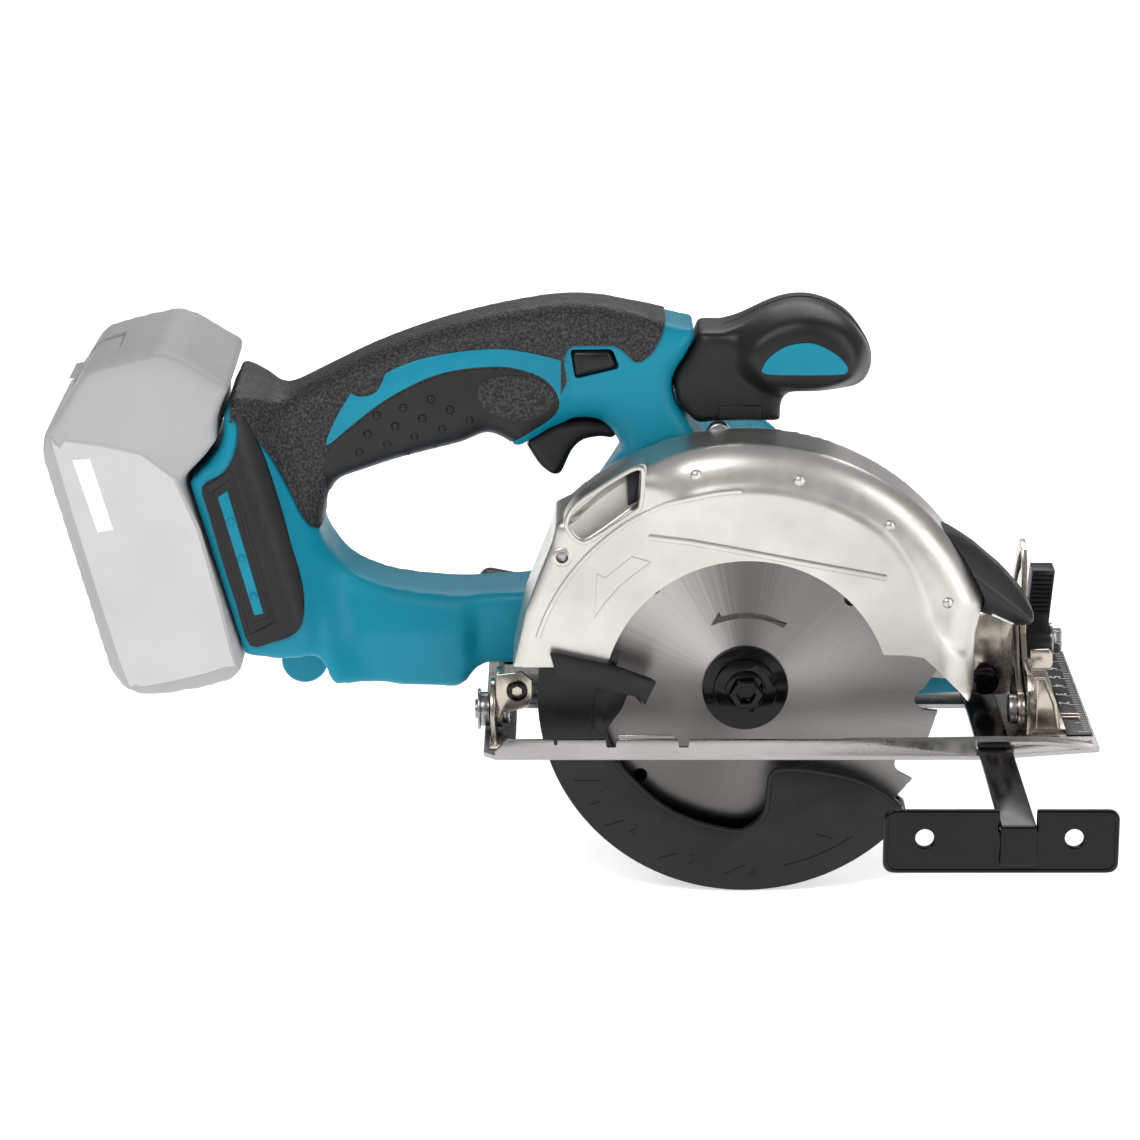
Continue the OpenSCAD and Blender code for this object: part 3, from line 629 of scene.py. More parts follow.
# rear handle and battery mount
handleLook = {"halfGrip": 16.3, "halfArm": 15.6, "halfBlock": 19.2, "halfMount": 33.6,
              "gripRoll": 12.0, "armRoll": 5.0, "rubberProud": 0.8, "flashProud": 1.2, "voxel": 1.15}
crownLine = curved([(-177.0, 118.6), (-168.8, 116.4), (-164.3, 114.3), (-158.9, 115.2),
                    (-148.9, 120.2),
                    (-129.1, 129.9), (-109.3, 137.4), (-89.6, 142.9), (-70.0, 146.6),
                    (-60.2, 147.3),
                    (-50.4, 146.8), (-39.2, 144.4), (-28.3, 141.4), (-18.4, 139.2)], 3)
handleOutline = crownLine + [(-17.8, 136.0), (-21.4, 129.2), (-25.2, 123.0), (-25.6, 118.2),
    (-24.6, 113.4), (-21, 107.5), (-17.8, 102.6), (-10, 93), (-8, 76), (-22, 64), (-22, 44),
    (-13, 34),
    (-30, 20), (-60, 17.5), (-91, 17.6), (-94.8, 15.4), (-98, 10.9), (-101.5, 9.0), (-120, 9.7),
    (-134.8, 11.5), (-143.6, 13.2), (-145.6, 15.6), (-147.4, 20.6), (-149.6, 24.2), (-153, 25.4),
    (-163.4, 24.6), (-175.2, 26.8), (-193.2, 89.6), (-186.5, 96.0), (-182.2, 101.6),
    (-181.0, 107.0),
    (-180.8, 113.4)]
fingerGap = curved([(-82.3, 99.0), (-87.0, 101.4), (-91.5, 102.0), (-99.3, 98.7), (-111.1, 95.6),
                    (-122.9, 92.4), (-134.7, 88.4), (-142.6, 85.4), (-146.4, 80.6), (-148.3, 74.0),
                    (-148.0, 64.4), (-140.1, 53.5), (-130.5, 48.2), (-120.2, 45.4), (-100.2, 43.5),
                    (-71.7, 45.2)], 3) + [(-62, 46), (-60, 70), (-50, 84), (-43.2, 94.6),
                    (-44.6, 98.4),
    (-47, 102.4), (-50.6, 105.6), (-55.4, 106.6), (-61.7, 106.0), (-68.3, 103.1), (-73.9, 99.3),
    (-78.6, 96.4), (-80.6, 97.4)]


def mountDistance(spots):
    return (spots[:, 0] + 193.2) * 0.9607 + (spots[:, 1] - 89.8) * 0.2776


def handleHalf(spots):
    u = mountDistance(spots)
    low = 1 - smoothStep(spots[:, 1], 44, 62)
    # straight ramps leave crisp creases round the block under the arm
    block = np.clip((spots[:, 0] + 150) / 3.5, 0, 1) * np.clip((-94 - spots[:, 0]) / 5, 0, 1)
    block = block * np.clip((44 - spots[:, 1]) / 13, 0, 1) * low
    thin = handleLook["halfGrip"] * (1 - low) + handleLook["halfArm"] * low
    thin = thin + (handleLook["halfBlock"] - handleLook["halfArm"]) * block
    thin = thin - 2.4 * block * smoothStep(-spots[:, 1], -30, -14)
    return thin + (handleLook["halfMount"] - thin) * (1 - smoothStep(u, 17, 41))


def handleRoll(spots):
    u = mountDistance(spots)
    high = smoothStep(spots[:, 1], 62, 86) * smoothStep(u, 30, 46)
    roll = handleLook["armRoll"] + (handleLook["gripRoll"] - handleLook["armRoll"]) * high
    roll = roll + (7.0 - roll) * smoothStep(spots[:, 0], -44, -30) * high
    return roll * (1 - 0.4 * (1 - smoothStep(u, 2, 10)))


zoneLines = {
    "grip": [(-178.2, 130), (-178.4, 110.8), (-176.0, 112.4), (-174.3, 110.2), (-169.6, 104.4),
             (-164.6, 96.4), (-158.9, 84.3), (-155.0, 75.0), (-152.2, 70.6), (-149.3, 68.7),
             (-146.4, 70.4), (-144, 80), (-120, 80), (-90, 92), (-81, 98.6), (-73.9, 103.2),
             (-68.1, 107.2), (-65.0, 111.3), (-64.7, 116), (-62.2, 122), (-63.4, 129.0),
             (-62.4, 132.6), (-60.1, 134.4), (-46.0, 134.4), (-43.1, 132.9), (-40.3, 130.0),
             (-38.6, 128.6), (-36.6, 128.6), (-32.9, 131.5), (-29.9, 136.5), (-28.1, 142),
             (-28.1, 152), (-178.2, 152)],
    "flash": [(-146.2, 98.9), (-143.2, 107.6), (-138.1, 116.3), (-137.0, 117.2), (-135.3, 116.5),
              (-131.9, 116.5), (-128.2, 118.3), (-126.0, 122.5), (-124.2, 125.0), (-113.6, 129.3),
              (-99.0, 132.3), (-86.4, 133.3), (-79, 132.6), (-70.0, 130.8), (-62.4, 128.4),
              (-58, 126),
              (-56, 112), (-61.7, 106.6), (-68.3, 103.8), (-73.9, 100.4), (-79.6, 97.2),
              (-81, 98.9), (-73.9, 103.7), (-68.3, 107.5), (-65.3, 111.4), (-65.0, 115.2),
              (-67.3, 120),
              (-72.0, 123.8), (-79.4, 126.3), (-86.8, 127.1), (-99.1, 126.2), (-108.9, 123.7),
              (-118.7, 119.2), (-128.5, 113.1), (-138.4, 105.1)],
    "panel": [(-144.0, 99.6), (-138.2, 104.2), (-128.3, 112.2), (-118.5, 118.3), (-108.7, 122.8),
              (-99.0, 125.4), (-86.8, 126.3), (-79.6, 125.4), (-72.4, 122.9), (-68.0, 119.2),
              (-65.8, 114.9), (-66.1, 111.6), (-69.0, 107.9), (-74.2, 104.2), (-81.0, 99.6),
              (-84, 96), (-95, 96), (-120, 86), (-143, 80), (-146.5, 86), (-147.0, 93)],
    "cushion": [(-177.3, 113.2), (-175.6, 109.1), (-176.4, 102.1), (-179.0, 96.1), (-182.0, 92.5),
                (-188.4, 88.2), (-186.0, 77.9), (-181.7, 60.6), (-177.6, 46.3), (-173.2, 31.3),
                (-165.4, 32.2), (-158.5, 34.6), (-154.7, 38.6), (-154.2, 47.4), (-155.8, 56.6),
                (-158.1, 64.8), (-160.8, 75.9), (-163.3, 85.0), (-166.0, 94.1), (-168.0, 100.1),
                (-170.0, 104.8), (-172.0, 109.6), (-174.4, 113.0)],
    "oval": [(-93.3, 118.1), (-90.4, 122.3), (-81.6, 124.0), (-72.4, 122.4), (-67.2, 117.9),
             (-67.6, 113.1), (-71.5, 109.3), (-78.7, 107.5), (-87.5, 109.8), (-92.2, 113.6)],
}
gearboxLine = arcPoints((8.68, 31.6), 21, 178, 20, 14) + arcPoints((-6, 48), 33, -20, 250, 40) \
    + [(-13.4, 17)] + arcPoints((0, 17), 13.4, 190, 350, 12)


def shapedZone(core, name, line, proud, steps=0):
    skin = grown(core, name, proud)
    edge = curved(line, steps, closed=True) if steps else line
    return combined(skin, traced("zone", edge, -60, 60), "INTERSECT")


def makeHandle():
    core = traced("handleCore", handleOutline, -3, 3)
    cutBy(core, traced("gap", fingerGap, -8, 8))
    rounded(core, [handleOutline, fingerGap], handleHalf, handleRoll, handleLook["voxel"], 4)
    rubber = handleLook["rubberProud"]
    # each skin's zone, how proud it stands, its curve steps, slot, finish and replaced nodes
    skinPlans = {
        "gripRubber": ("grip", rubber, 0, "black_rubber", "grip_pebble", ("grip_rubber",)),
        "gripPanel": ("panel", rubber + 0.35, 3, "black_rubber", "smooth_rubber", ()),
        "gripOval": ("oval", rubber + 0.6, 3, "black_rubber", None, ()),
        "gripFlash": ("flash", handleLook["flashProud"], 3, "teal_plastic", None, ()),
        "mountCushion": ("cushion", 0.9, 3, "black_rubber", "smooth_rubber", ("mount_rubber",)),
    }
    skins = {name: shapedZone(core, name, zoneLines[plan[0]], *plan[1:3])
             for name, plan in skinPlans.items()}
    # the flash sinks into the neck at its front end
    for vertex in skins["gripFlash"].data.vertices:
        vertex.co.y *= 1 - 0.09 * float(smoothStep(np.array(vertex.co.x / mm), -68, -57))
    window = [(-61.2, 132.9), (-46.5, 133.1), (-43.8, 126.2), (-59.4, 122.4)]
    cutEach([core, skins["gripRubber"], skins["gripFlash"]],
            eased(traced("window", window, -50, 50), 1.2))
    slot = [(-79.5, 92), (-80.5, 98), (-80, 116), (-40, 116), (-40, 98), (-48, 90)]
    cutEach([core, skins["gripRubber"], skins["gripPanel"], skins["gripFlash"]],
            traced("triggerSlot", slot, -8.5, 8.5))
    cutBy(core, traced("gearPocket", gearboxLine, -18.4, 60))
    railWay = [(-200, 40), (-169, 47), (-171, 70), (-184, 84), (-200, 88)]
    cutBy(core, eased(traced("railWay", railWay, -28, 28), 1.5))
    finished(core, "saw_head", "teal_plastic", stands=("shell_near", "shell_far"), smooth=50)
    for name, plan in skinPlans.items():
        finished(skins[name], "saw_head", *plan[3:], smooth=50)


makeHandle()
print("handle made")


# blade case
caseLook = {"near": -51.0, "far": -18.0, "wall": 2, "rimRadius": 88.9, "rollWide": 14.5,
            "rollDeep": 11.0, "rollTight": 3.0, "turnFrom": 106.0, "turnTo": 119.0, "step": 1.3,
            "stepWide": 3.6, "portStart": 1.6, "portDeep": 7.0, "voxel": 1.0}
# the radius of the flat face's edge at these angles round the hub
faceEdge = ([10.5, 13.3, 18.4, 24.4, 28.6, 39, 52], [76.5, 71.9, 68.5, 67.7, 68.8, 71.6, 74.4])


def caseLine(inset, drop):
    return ([(-81.2 + inset, 28 - drop), (-76.7 + inset, 49), (-67.6 + inset, 72.5),
             (-66.0 + inset, 79.4)]
            + arcPoints(hub, caseLook["rimRadius"] - inset, 133, 22, 60)
            + [(79.7 - inset, 38), (79.4 - inset, 20), (77.5 - inset, 14 - drop)])


def caseBody(name, inset, drop, near, far):
    # the near face rolls over to the rim: wide over the top, tight round the dust port
    line = caseLine(inset, drop)
    piece = remeshed(traced(name, line, near, far), caseLook["voxel"])
    places = readPlaces(piece)
    spots = places[:, (0, 2)]
    turn = np.degrees(np.arctan2(spots[:, 1] - hub[1], spots[:, 0] - hub[0]))
    tight = smoothStep(turn, caseLook["turnFrom"], caseLook["turnTo"])
    tight = np.where(turn < -90, 1.0, tight)
    across = caseLook["rollWide"] * (1 - tight) + caseLook["rollTight"] * tight - inset
    deep = caseLook["rollDeep"] * (1 - tight) + caseLook["rollTight"] * tight
    t = 1 - np.clip(distanceTo([line[:-1]], spots, closed=False) / across, 0, 1)
    floorY = near + deep * (1 - np.sqrt(np.clip(1 - (t * 0.97) ** 2, 0, 1)))
    # the flat face stands a step proud of the band that runs round it
    away = np.linalg.norm(spots - np.array(hub), axis=1)
    step = smoothStep(away - np.interp(turn, *faceEdge), -0.4, caseLook["stepWide"])
    step = step * smoothStep(turn, 4, 10)
    floorY = floorY + caseLook["step"] * step * (1 - smoothStep(turn, 103, 112))
    places[:, 1] = np.maximum(places[:, 1], floorY)
    return resettled(piece, places, caseLook["voxel"], 3)


dustPort = [(-61.4, 77.1), (-62.4, 80.5), (-58.8, 86.9), (-48.5, 94.1), (-40.6, 98.9),
            (-37.2, 99.6),
            (-36.2, 97.6), (-37.0, 86.6), (-40.0, 83.6), (-54.0, 74.2), (-58.2, 73.8)]


def makeCase():
    near, far, wall = caseLook["near"], caseLook["far"], caseLook["wall"]
    case = caseBody("bladeCase", 0, 0, near, far)
    cutBy(case, caseBody("caseHollow", wall, 40, near + wall, far + 3))
    mouth = arcPoints(hub, 49.7, 166.5, 18.5, 48) + [
        (47.1, 32.9), (56, 32.6), (61.1, 31.8), (64.7, 28.5), (69.3, 23.8), (74.6, 18),
        (77.4, 14.6), (90, -20), (-100, -20), (-100, 28.2)]
    cutBy(case, traced("mouth", mouth, -60, -40))
    back = traced("caseBack", caseLine(1.5, 0), -20.2, far)
    cutEach([back, case], traced("boss", arcPoints(hub, 17.7, 0, 345, 23), -30, 0))
    # the dust port is a scoop that deepens towards its slot
    portEdge = curved(dustPort, 3, closed=True)
    scoop = traced("port", portEdge, -60, -45)
    for vertex in scoop.data.vertices:
        if vertex.co.y > -50 * mm:
            share = ((vertex.co.x / mm + 62) * 0.8 + (vertex.co.z / mm - 74) * 0.6) / 34
            vertex.co.y = (near + caseLook["portStart"] + caseLook["portDeep"] * share) * mm
    applyModifier(scoop, "BEVEL", width=1.6 * mm, segments=3, limit_method="ANGLE",
                  angle_limit=0.9)
    middle = np.mean(portEdge, axis=0)
    wider = [tuple(middle + (np.array(p) - middle) * 1.09) for p in portEdge]
    basin = traced("portBasin", wider, -50.0, -40.8)
    cutBy(basin, copied(scoop, "scoopCopy"))
    cutBy(case, scoop)
    arc = arcPoints(hub, 75.6, 163, 112, 26) + arcPoints(hub, 74.6, 104, 92, 8)
    slant = [(-34.1, near, 75.2)] + atDepth([(-33, 75.1), (-19.6, 73.4), (-6.5, 71.0),
                                             (17.7, 66.3), (46.0, 60.9)], -51.3)
    arrow = [(-52.0, 62.2), (-49.1, 60.4), (-39.9, 68.2), (-33.3, 66.3), (-39.2, 61.8),
             (-44.5, 57.0), (-49.7, 50.8), (-52.7, 46.3)]
    beads = [ridge("portLip", atDepth(portEdge, near - 0.1), 0.8, 0.6, closed=True),
             ridge("arcBead", atDepth(arc, near), 0.9, 0.7),
             ridge("slantBead", slant + [(47.4, near, 60.7)], 1.1, 0.6),
             ridge("arrowMark", atDepth(arrow, near), 0.32, 0.7, closed=True)]
    for k, (x, z) in enumerate([(-18.1, 96.4), (17.2, 94.7), (48.4, 78.7), (69.0, 51.2)]):
        close = [v.co.y / mm for v in case.data.vertices
                 if math.hypot(v.co.x / mm - x, v.co.z / mm - z) < 1.4]
        beads.append(dome("bump%d" % k, (x, min(close) + 0.5, z), 2.1, 1.5))
    screw = (-63.9, 68.0)
    beads.append(dome("screwRing", (screw[0], -50.9, screw[1]), 3.6, 0.7))
    case = joined("bladeCase", case, back, basin, *beads)
    cutBy(case, rod("screwHole", screw, 2.1, -56, -46, sides=24))
    finished(case, "saw_head", "cast_silver", stands=("blade_case",), smooth=40)
    # a near-black piece fills the slot at the deep end of the port: a dark sheet put as painted shade
    # inside the opening
    slit = [(-41.6, 95.6), (-37.4, 97.4), (-37.9, 86.6), (-41.4, 84.9)]
    finished(eased(traced("portSlitShade", slit, -46.4, -43.2), 0.3), "saw_head", "black_plastic")
    pin = rod("caseRivet", screw, 1.9, -49.6, -48.4, sides=24)
    finished(eased(pin, 0.4), "saw_head", "machined_steel")


makeCase()
print("blade case made")


# front grip
frontLook = {"stem": 14.0, "bulb": 21.6, "stemRoll": 4.0, "bulbRoll": 11.0, "insertProud": 0.55}
bulbLine = curved([(-5.5, 139.0), (-1.6, 140.6), (5.5, 144.4), (12.6, 147.2), (18.8, 148.2),
                   (25, 147.4),
                   (32.2, 144.2), (37.7, 139.7), (42.1, 133.7), (44.2, 127.5), (43.6, 122.6),
                   (41.2, 119.0),
                   (36.4, 117.2), (26, 116.6), (17.5, 116.6), (14.4, 115.6), (12.7, 112.5),
                   (12.3, 108.6)], 3)
frontOutline = [(-16.2, 138.4), (-7.9, 138.2)] + bulbLine + [(12.6, 106.0), (0, 106.0),
                (-16.8, 105.4),
    (-20.4, 108.4), (-23.9, 113.5), (-24.9, 118.2), (-24.6, 122.8), (-20.9, 128.6), (-17.2, 135.4)]


def frontHalf(spots):
    away = np.sqrt(((spots[:, 0] - 20.5) / 25.0) ** 2 + ((spots[:, 1] - 131.5) / 17.0) ** 2)
    return frontLook["stem"] + (frontLook["bulb"] - frontLook["stem"]) * (1 - smoothStep(away, 0.68, 1.06))


def frontRoll(spots):
    front = smoothStep(spots[:, 0], -8, 6) * smoothStep(spots[:, 1], 112, 120)
    return frontLook["stemRoll"] + (frontLook["bulbRoll"] - frontLook["stemRoll"]) * front


def makeFrontGrip():
    grip = traced("frontGripBody", frontOutline, -3, 3)
    rounded(grip, [frontOutline], frontHalf, frontRoll, 1.1, 5)
    patch = [(5.4, 127.6), (7.7, 131.4), (13.2, 135.2), (18.7, 136.4), (24.2, 136.0), (30.8, 132.4),
             (34.4, 128.6), (34.6, 126.2), (31.8, 125.3), (20, 125.1), (9.6, 125.3), (5.6, 126.0)]
    insert = shapedZone(grip, "frontInsert", patch, frontLook["insertProud"], 3)
    finished(insert, "saw_head", "teal_plastic", stands=("front_grip_insert",), smooth=45)
    seam = ridge("gripSeam", atDepth(frontOutline[1:48], 0), 0.35)
    for vertex in seam.data.vertices:
        vertex.co.y *= 1.2
    labelLine = [(-9.0, 112.2), (5.4, 112.5), (5.3, 107.9), (-9.2, 107.9)]
    label = eased(traced("stemLabel", labelLine, -14.7, 14.7), 0.3)
    grip = joined("frontGripBody", grip, label, seam)
    finished(grip, "saw_head", "black_rubber", "smooth_rubber", ("front_grip",), smooth=45)


makeFrontGrip()
print("front grip made")


# lower guard
guardLook = {"near": -46.5, "edge": 0.5, "lip": 0.9}
guardInner = curved([(-45.3, -7.7), (-38.6, -15.3), (-29.0, -24.0), (-19.3, -29.1), (-9.6, -32.1),
                     (-1.0, -33.2), (4.8, -30.1), (7.6, -25.0), (8.4, -17.9), (9.1, -12.9),
                     (12.4, -10.5),
                     (23.7, -10.9), (38.1, -14.0), (47.8, -18.9), (54.6, -24.6)], 4)


def worn(node, width, segments=2):
    # a copy of a CAD part with its sharp corners broken, as a press or a tumbler leaves them
    source = nodes[node]
    twin = source.copy()
    twin.data = source.data.copy()
    twin.parent = None
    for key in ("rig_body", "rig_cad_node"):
        if key in twin:
            del twin[key]
    twin.name = node + "_finished"
    bpy.context.scene.collection.objects.link(twin)
    edited(twin, lambda: bpy.ops.mesh.remove_doubles(threshold=0.00002),
           lambda: bpy.ops.mesh.dissolve_limited(angle_limit=math.radians(1.0)))
    return eased(twin, width, segments)


def bodyOf(node):
    bodies = frame["record"]["behaviour"]["bodies"]
    return next(body for body, held in bodies.items() if node in held)


def figure(digit, size, extrude, place, **looks):
    # a digit made a mesh and set where place puts its points
    clearSelection()
    bpy.ops.object.text_add(location=(0, 0, 0))
    text = bpy.context.object
    text.data.body = digit
    text.data.size = size * mm
    text.data.extrude = extrude * mm
    for key, value in looks.items():
        setattr(text.data, key, value)
    bpy.ops.object.convert(target="MESH")
    text = bpy.context.object
    for vertex in text.data.vertices:
        vertex.co = place(*vertex.co)
    return text


def makeGuard():
    near = guardLook["near"]
    guard = worn("lower_guard", guardLook["edge"])
    trimLine = arcPoints(hub, 50.1, 167, 148, 8) + arcPoints(hub, 40, 148, 167, 4)
    trim = traced("guardTrim", trimLine, -52.2, -43)
    cutBy(guard, copied(trim, "trimCopy"))
    webLine = curved([(-36.2, 13.4), (-38.4, 15.9), (-40.8, 17.0), (-41.8, 15.3), (-43.4, 11.4),
                      (-46.1, 7.7), (-49.6, 2.6)], 3) + [(-53, 6), (-52, 22), (-37, 19)]
    web = eased(traced("guardWeb", webLine, -46.9, -44.6), 0.4)
    lip = ridge("guardLip", atDepth(guardInner, near - 0.1), guardLook["lip"], 0.7)
    strokes = [[(-59.7, -14.8), (-51.1, -14.8)], [(-54.4, -23.8), (-51.1, -22.7)],
               [(-49.1, -31.6), (-42.4, -29.6)], [(-30.3, -43.9), (-24.0, -41.9)],
               [(-6.6, -49.6), (0.1, -46.4)], arcPoints(hub, 64.9, -77.7, -54.1, 10),
               [(25.0, -34.6), (30.9, -36.4)]]
    marks = [ridge("mark%d" % k, atDepth(stroke, near), 0.35, 0.7)
             for k, stroke in enumerate(strokes)]
    finished(joined("lowerGuard", guard, web, lip, *marks), "guard", "black_plastic",
             stands=("lower_guard",))
    figures = {"1": (-50.6, -19.4), "2": (-39.6, -34.2), "3": (-18.7, -46.0), "4": (3.1, -51.2)}
    for digit, (x, z) in figures.items():
        lean = math.atan2(z - hub[1], x) + math.pi / 2

        def place(a, b, depth):
            return (x * mm + a * math.cos(lean) - b * math.sin(lean), near * mm - depth,
                    z * mm + a * math.sin(lean) + b * math.cos(lean))

        text = figure(digit, 5.2, 0.25, place, align_x="CENTER")
        edited(text, faceOutward)
        text.name = "guardFigure" + digit
        finished(text, "guard", "black_plastic")
    wing = cutBy(worn("guard_lever", 0.5), trim)
    rib = ridge("wingRib", atDepth([(-67.2, 34.1), (-46.7, 29.7), (-33.0, 24.6)], -54.2), 0.8, 1.2)
    finished(joined("guardWing", wing, rib), "guard", "black_plastic", stands=("guard_lever",))


makeGuard()
print("lower guard made")


# battery pack
packLook = {"half": 37.3, "roll": 4.0, "railY": 9, "railHalf": 1.6}
packOutline = curved([(-177.6, 124.4), (-182.4, 113.8), (-182.9, 104.4)], 2) + [(-194.9, 90.8),
                      (-175.4, 26.4),
    (-176.4, 21.6), (-180.2, 18.2), (-190, 15.4), (-205, 12.7), (-212, 12.6), (-218, 15.8),
    (-222.4, 22.5),
    (-243.6, 100.6), (-243.0, 105.4), (-241, 109.4), (-234.6, 118.7), (-228.4, 128.6),
    (-225, 130.8),
    (-212.3, 134.3), (-201, 136.8), (-194.4, 134.6)]


def makePack():
    half, railHalf = packLook["half"], packLook["railHalf"]
    pack = traced("packBody", packOutline, -3, 3)
    rounded(pack, [packOutline], everywhere(half), everywhere(packLook["roll"]), 1.4, 3)
    rail = [(-192.4, 74), (-183, 77), (-160, 6), (-170, 1)]
    for y in (-packLook["railY"], packLook["railY"]):
        cutBy(pack, traced("railGroove", rail, y - railHalf, y + railHalf))
    room = [(-240, 117.8), (-217.6, 117.8), (-217.6, 140), (-240, 140)]
    cutBy(pack, traced("latchRoom", room, -12, 12))
    edge = curved([(-197.5, 92.5), (-179.4, 30.4), (-181.4, 23.6), (-206, 17.2), (-213, 17.2),
                   (-218.4, 24.2), (-238.6, 99.6), (-236.6, 103.4), (-231, 105.4)], 3, closed=True)
    panels, beads = [], []
    for side in (-1, 1):
        panel = traced("packSidePaintedLight", edge, side * 36.9, side * (half + 0.02))
        panels.append(eased(panel, 0.01, 1, 80))
        beads.append(ridge("packBead", atDepth(edge, side * 37.05), 0.75, 0.6, closed=True))
    pack = joined("packBody", pack, *beads)
    finished(pack, "battery", "pack_grey", stands=("pack_shell",), smooth=45)
    # the side panels take the blend painted a shade lighter, as painted light
    finished(joined("packSidePanels", *panels), "battery", "pack_grey", "pack_side")
    patch = [(-232.5, 99.0), (-226.4, 99.4), (-219.0, 74.0), (-224.6, 73.0)]
    label = eased(traced("packLabel", patch, -37.6, -36.9), 0.1)
    finished(label, "battery", "pack_grey", "blank_label")
    finished(worn("pack_latch", 0.8), "battery_latch", "pack_dark", stands=("pack_latch",))


makePack()
print("battery made")


# details on the handle
def surfaceAt(x, z):
    spots = np.array([[x, z]])
    roll = handleRoll(spots)
    t = 1 - np.clip(distanceTo([handleOutline, fingerGap], spots) / roll, 0, 1)
    return float((handleHalf(spots) - rollShare * roll * (1 - np.sqrt(1 - t * t)))[0])


def makeHandleDetails():
    spots = [(-128.5, 109.6), (-119.2, 112.4), (-109.6, 115.5), (-131.7, 103.0), (-122.1, 105.8),
             (-112.6, 108.6), (-102.9, 111.7), (-134.8, 96.3), (-125.0, 99.0), (-115.4, 101.8),
             (-105.8, 104.7), (-96.2, 107.8), (-118.2, 95.6), (-108.8, 98.6)]
    outer = [(-187.2, 88.4), (-178.6, 94.2), (-164.0, 39.4), (-173.2, 34.6)]
    inner = [(-184.9, 86.4), (-179.0, 90.6), (-166.2, 41.2), (-172.4, 38.6)]
    slot = [(-183.0, 84.9), (-179.6, 87.2), (-168.0, 42.9), (-171.3, 42.1)]
    buttons, rims, inlays = [], [], []
    for side in (-1, 1):
        buttons += [dome("button", (x, side * (surfaceAt(x, z) + 1.0), z), 1.5, 1.25)
                    for x, z in spots]
        rims += [ridge("panelFrame", atDepth(outer, side * 34.3), 0.8, 0.8, closed=True),
                 ridge("panelFrameInner", atDepth(inner, side * 34.4), 0.5, 0.9, closed=True)]
        inlays.append(eased(traced("slotInlay", slot, side * 33.6, side * 34.95), 0.4))
        inlays += [dome("slotButton", (x, side * 34.9, z), 1.35, 0.9)
                   for x, z in ((-178.6, 76.4), (-175.1, 63.0), (-171.3, 49.2))]
    finished(joined("gripButtons", *buttons), "saw_head", "black_rubber", "smooth_rubber")
    finished(joined("mountFrames", *rims), "saw_head", "black_rubber", "smooth_rubber")
    finished(joined("mountInlays", *inlays), "saw_head", "teal_plastic")
    lugLine = arcPoints((-157, 11.4), 8.3, 180, 360, 16) + [(-148.7, 27), (-165.3, 27)]
    finished(eased(traced("armLug", lugLine, 9, 21), 1.2, 3), "saw_head", "teal_plastic")
    boss = rod("neckScrew", (-9.4, 103.2), 4.2, -20, -15, sides=32)
    finished(eased(boss, 0.8, 3), "saw_head", "machined_steel")
    buttonLine = [(-60.6, 132.4), (-47.4, 132.6), (-45.0, 126.8), (-59.3, 123.2)]
    button = eased(traced("lockOffKey", buttonLine, -17.6, 17.6), 1.6, 3)
    finished(button, "lock_off_key", "black_plastic", stands=("lock_off_button",))
    triggerLine = curved([(-76.4, 95.8), (-72.4, 89.4), (-70.0, 87.0), (-67.2, 85.2),
                          (-64.4, 85.8), (-62.4, 90.0), (-60.2, 94.4), (-56.4, 97.8),
                          (-50.6, 98.9)], 3)
    triggerLine += [(-46.4, 98.4), (-43.2, 101.0), (-46, 104.6), (-52, 105.6), (-56, 106.5),
                    (-66, 105), (-75.6, 99.6)]
    key = traced("triggerKeyBody", triggerLine, -3, 3)
    rounded(key, [triggerLine], everywhere(7.4), everywhere(3.2), 0.7, 2)
    finished(key, "trigger_key", "black_plastic", stands=("trigger",), smooth=45)


makeHandleDetails()
print("handle details made")


# lamp
lampLook = {"middle": -33.2, "half": 12.6, "roll": 3.2, "slopeTop": 0.95, "slopeUnder": 0.9}


def lampHalf(spots):
    above = (spots[:, 0] - 73.5) * 0.618 + (spots[:, 1] - 63.4) * 0.786
    under = -(spots[:, 0] - 78.9) * 0.4415 - (spots[:, 1] - 52.4) * 0.897
    return np.minimum(lampLook["half"] - lampLook["slopeTop"] * np.maximum(above, 0),
                      lampLook["half"] - lampLook["slopeUnder"] * np.maximum(under, 0))


def makeLamp():
    line = [(66.4, 75.2), (70.5, 73.6), (74.6, 71.2), (79.3, 68), (83.6, 64.2), (88.2, 60.2),
            (92.5, 55.5), (96.6, 50.4), (99.6, 45.4), (99.9, 43.2), (98.8, 41.6), (96, 40.2),
            (93, 39.6), (88.4, 41.2), (84.0, 43.6), (60, 50), (56, 62)]
    lamp = traced("lampBody", line, -3, 3)
    rounded(lamp, [line], lampHalf, everywhere(lampLook["roll"]), 0.8, 1)
    for vertex in lamp.data.vertices:
        vertex.co.y += lampLook["middle"] * mm
    cutBy(lamp, traced("rimClear", caseLine(-0.15, 0), -60, 0))
    room = [(83.8, 41.6), (92.2, 37.8), (94.2, 43.9), (86.0, 47.5)]
    cutBy(lamp, traced("glassRoom", room, -42.4, -24.1))
    finished(lamp, "saw_head", "black_plastic", "satin_black", ("lamp_housing",), smooth=30)
    glass = [(85, 44.2), (92.6, 40.9), (93.8, 43.6), (86.2, 47)]
    pane = eased(traced("lampGlassPane", glass, -42.2, -24.3), 0.5)
    finished(pane, "saw_head", "lens", stands=("lamp_lens",))


makeLamp()
print("lamp made")


# base, brackets and fence
baseLook = {"edge": 0.55, "rollRadius": 1.6}
# CAD parts kept in their shape, and the width of their broken corners in mm
wornParts = {"bevel_quadrant": 0.45, "rear_bracket": 0.4, "front_tilt_bracket": 0.5,
             "rear_tilt_bracket": 0.45, "fence_clamp": 0.6, "fence_screw": 0.5, "depth_guide": 0.5,
             "bevel_pins": 0.5, "depth_pivot_pin": 0.5, "depth_lever": 1.0, "outer_flange": 0.35,
             "blade_bolt": 0.3, "rip_scale": 0.1, "pivot_arm": 0.8, "motor_end_cover": 0.9,
             "gear_housing": 0.5, "gear_cover": 0.5, "depth_stud": 0.4, "shaft_lock": 0.6,
             "shell_screws": 0.4, "terminal_block": 0.5}


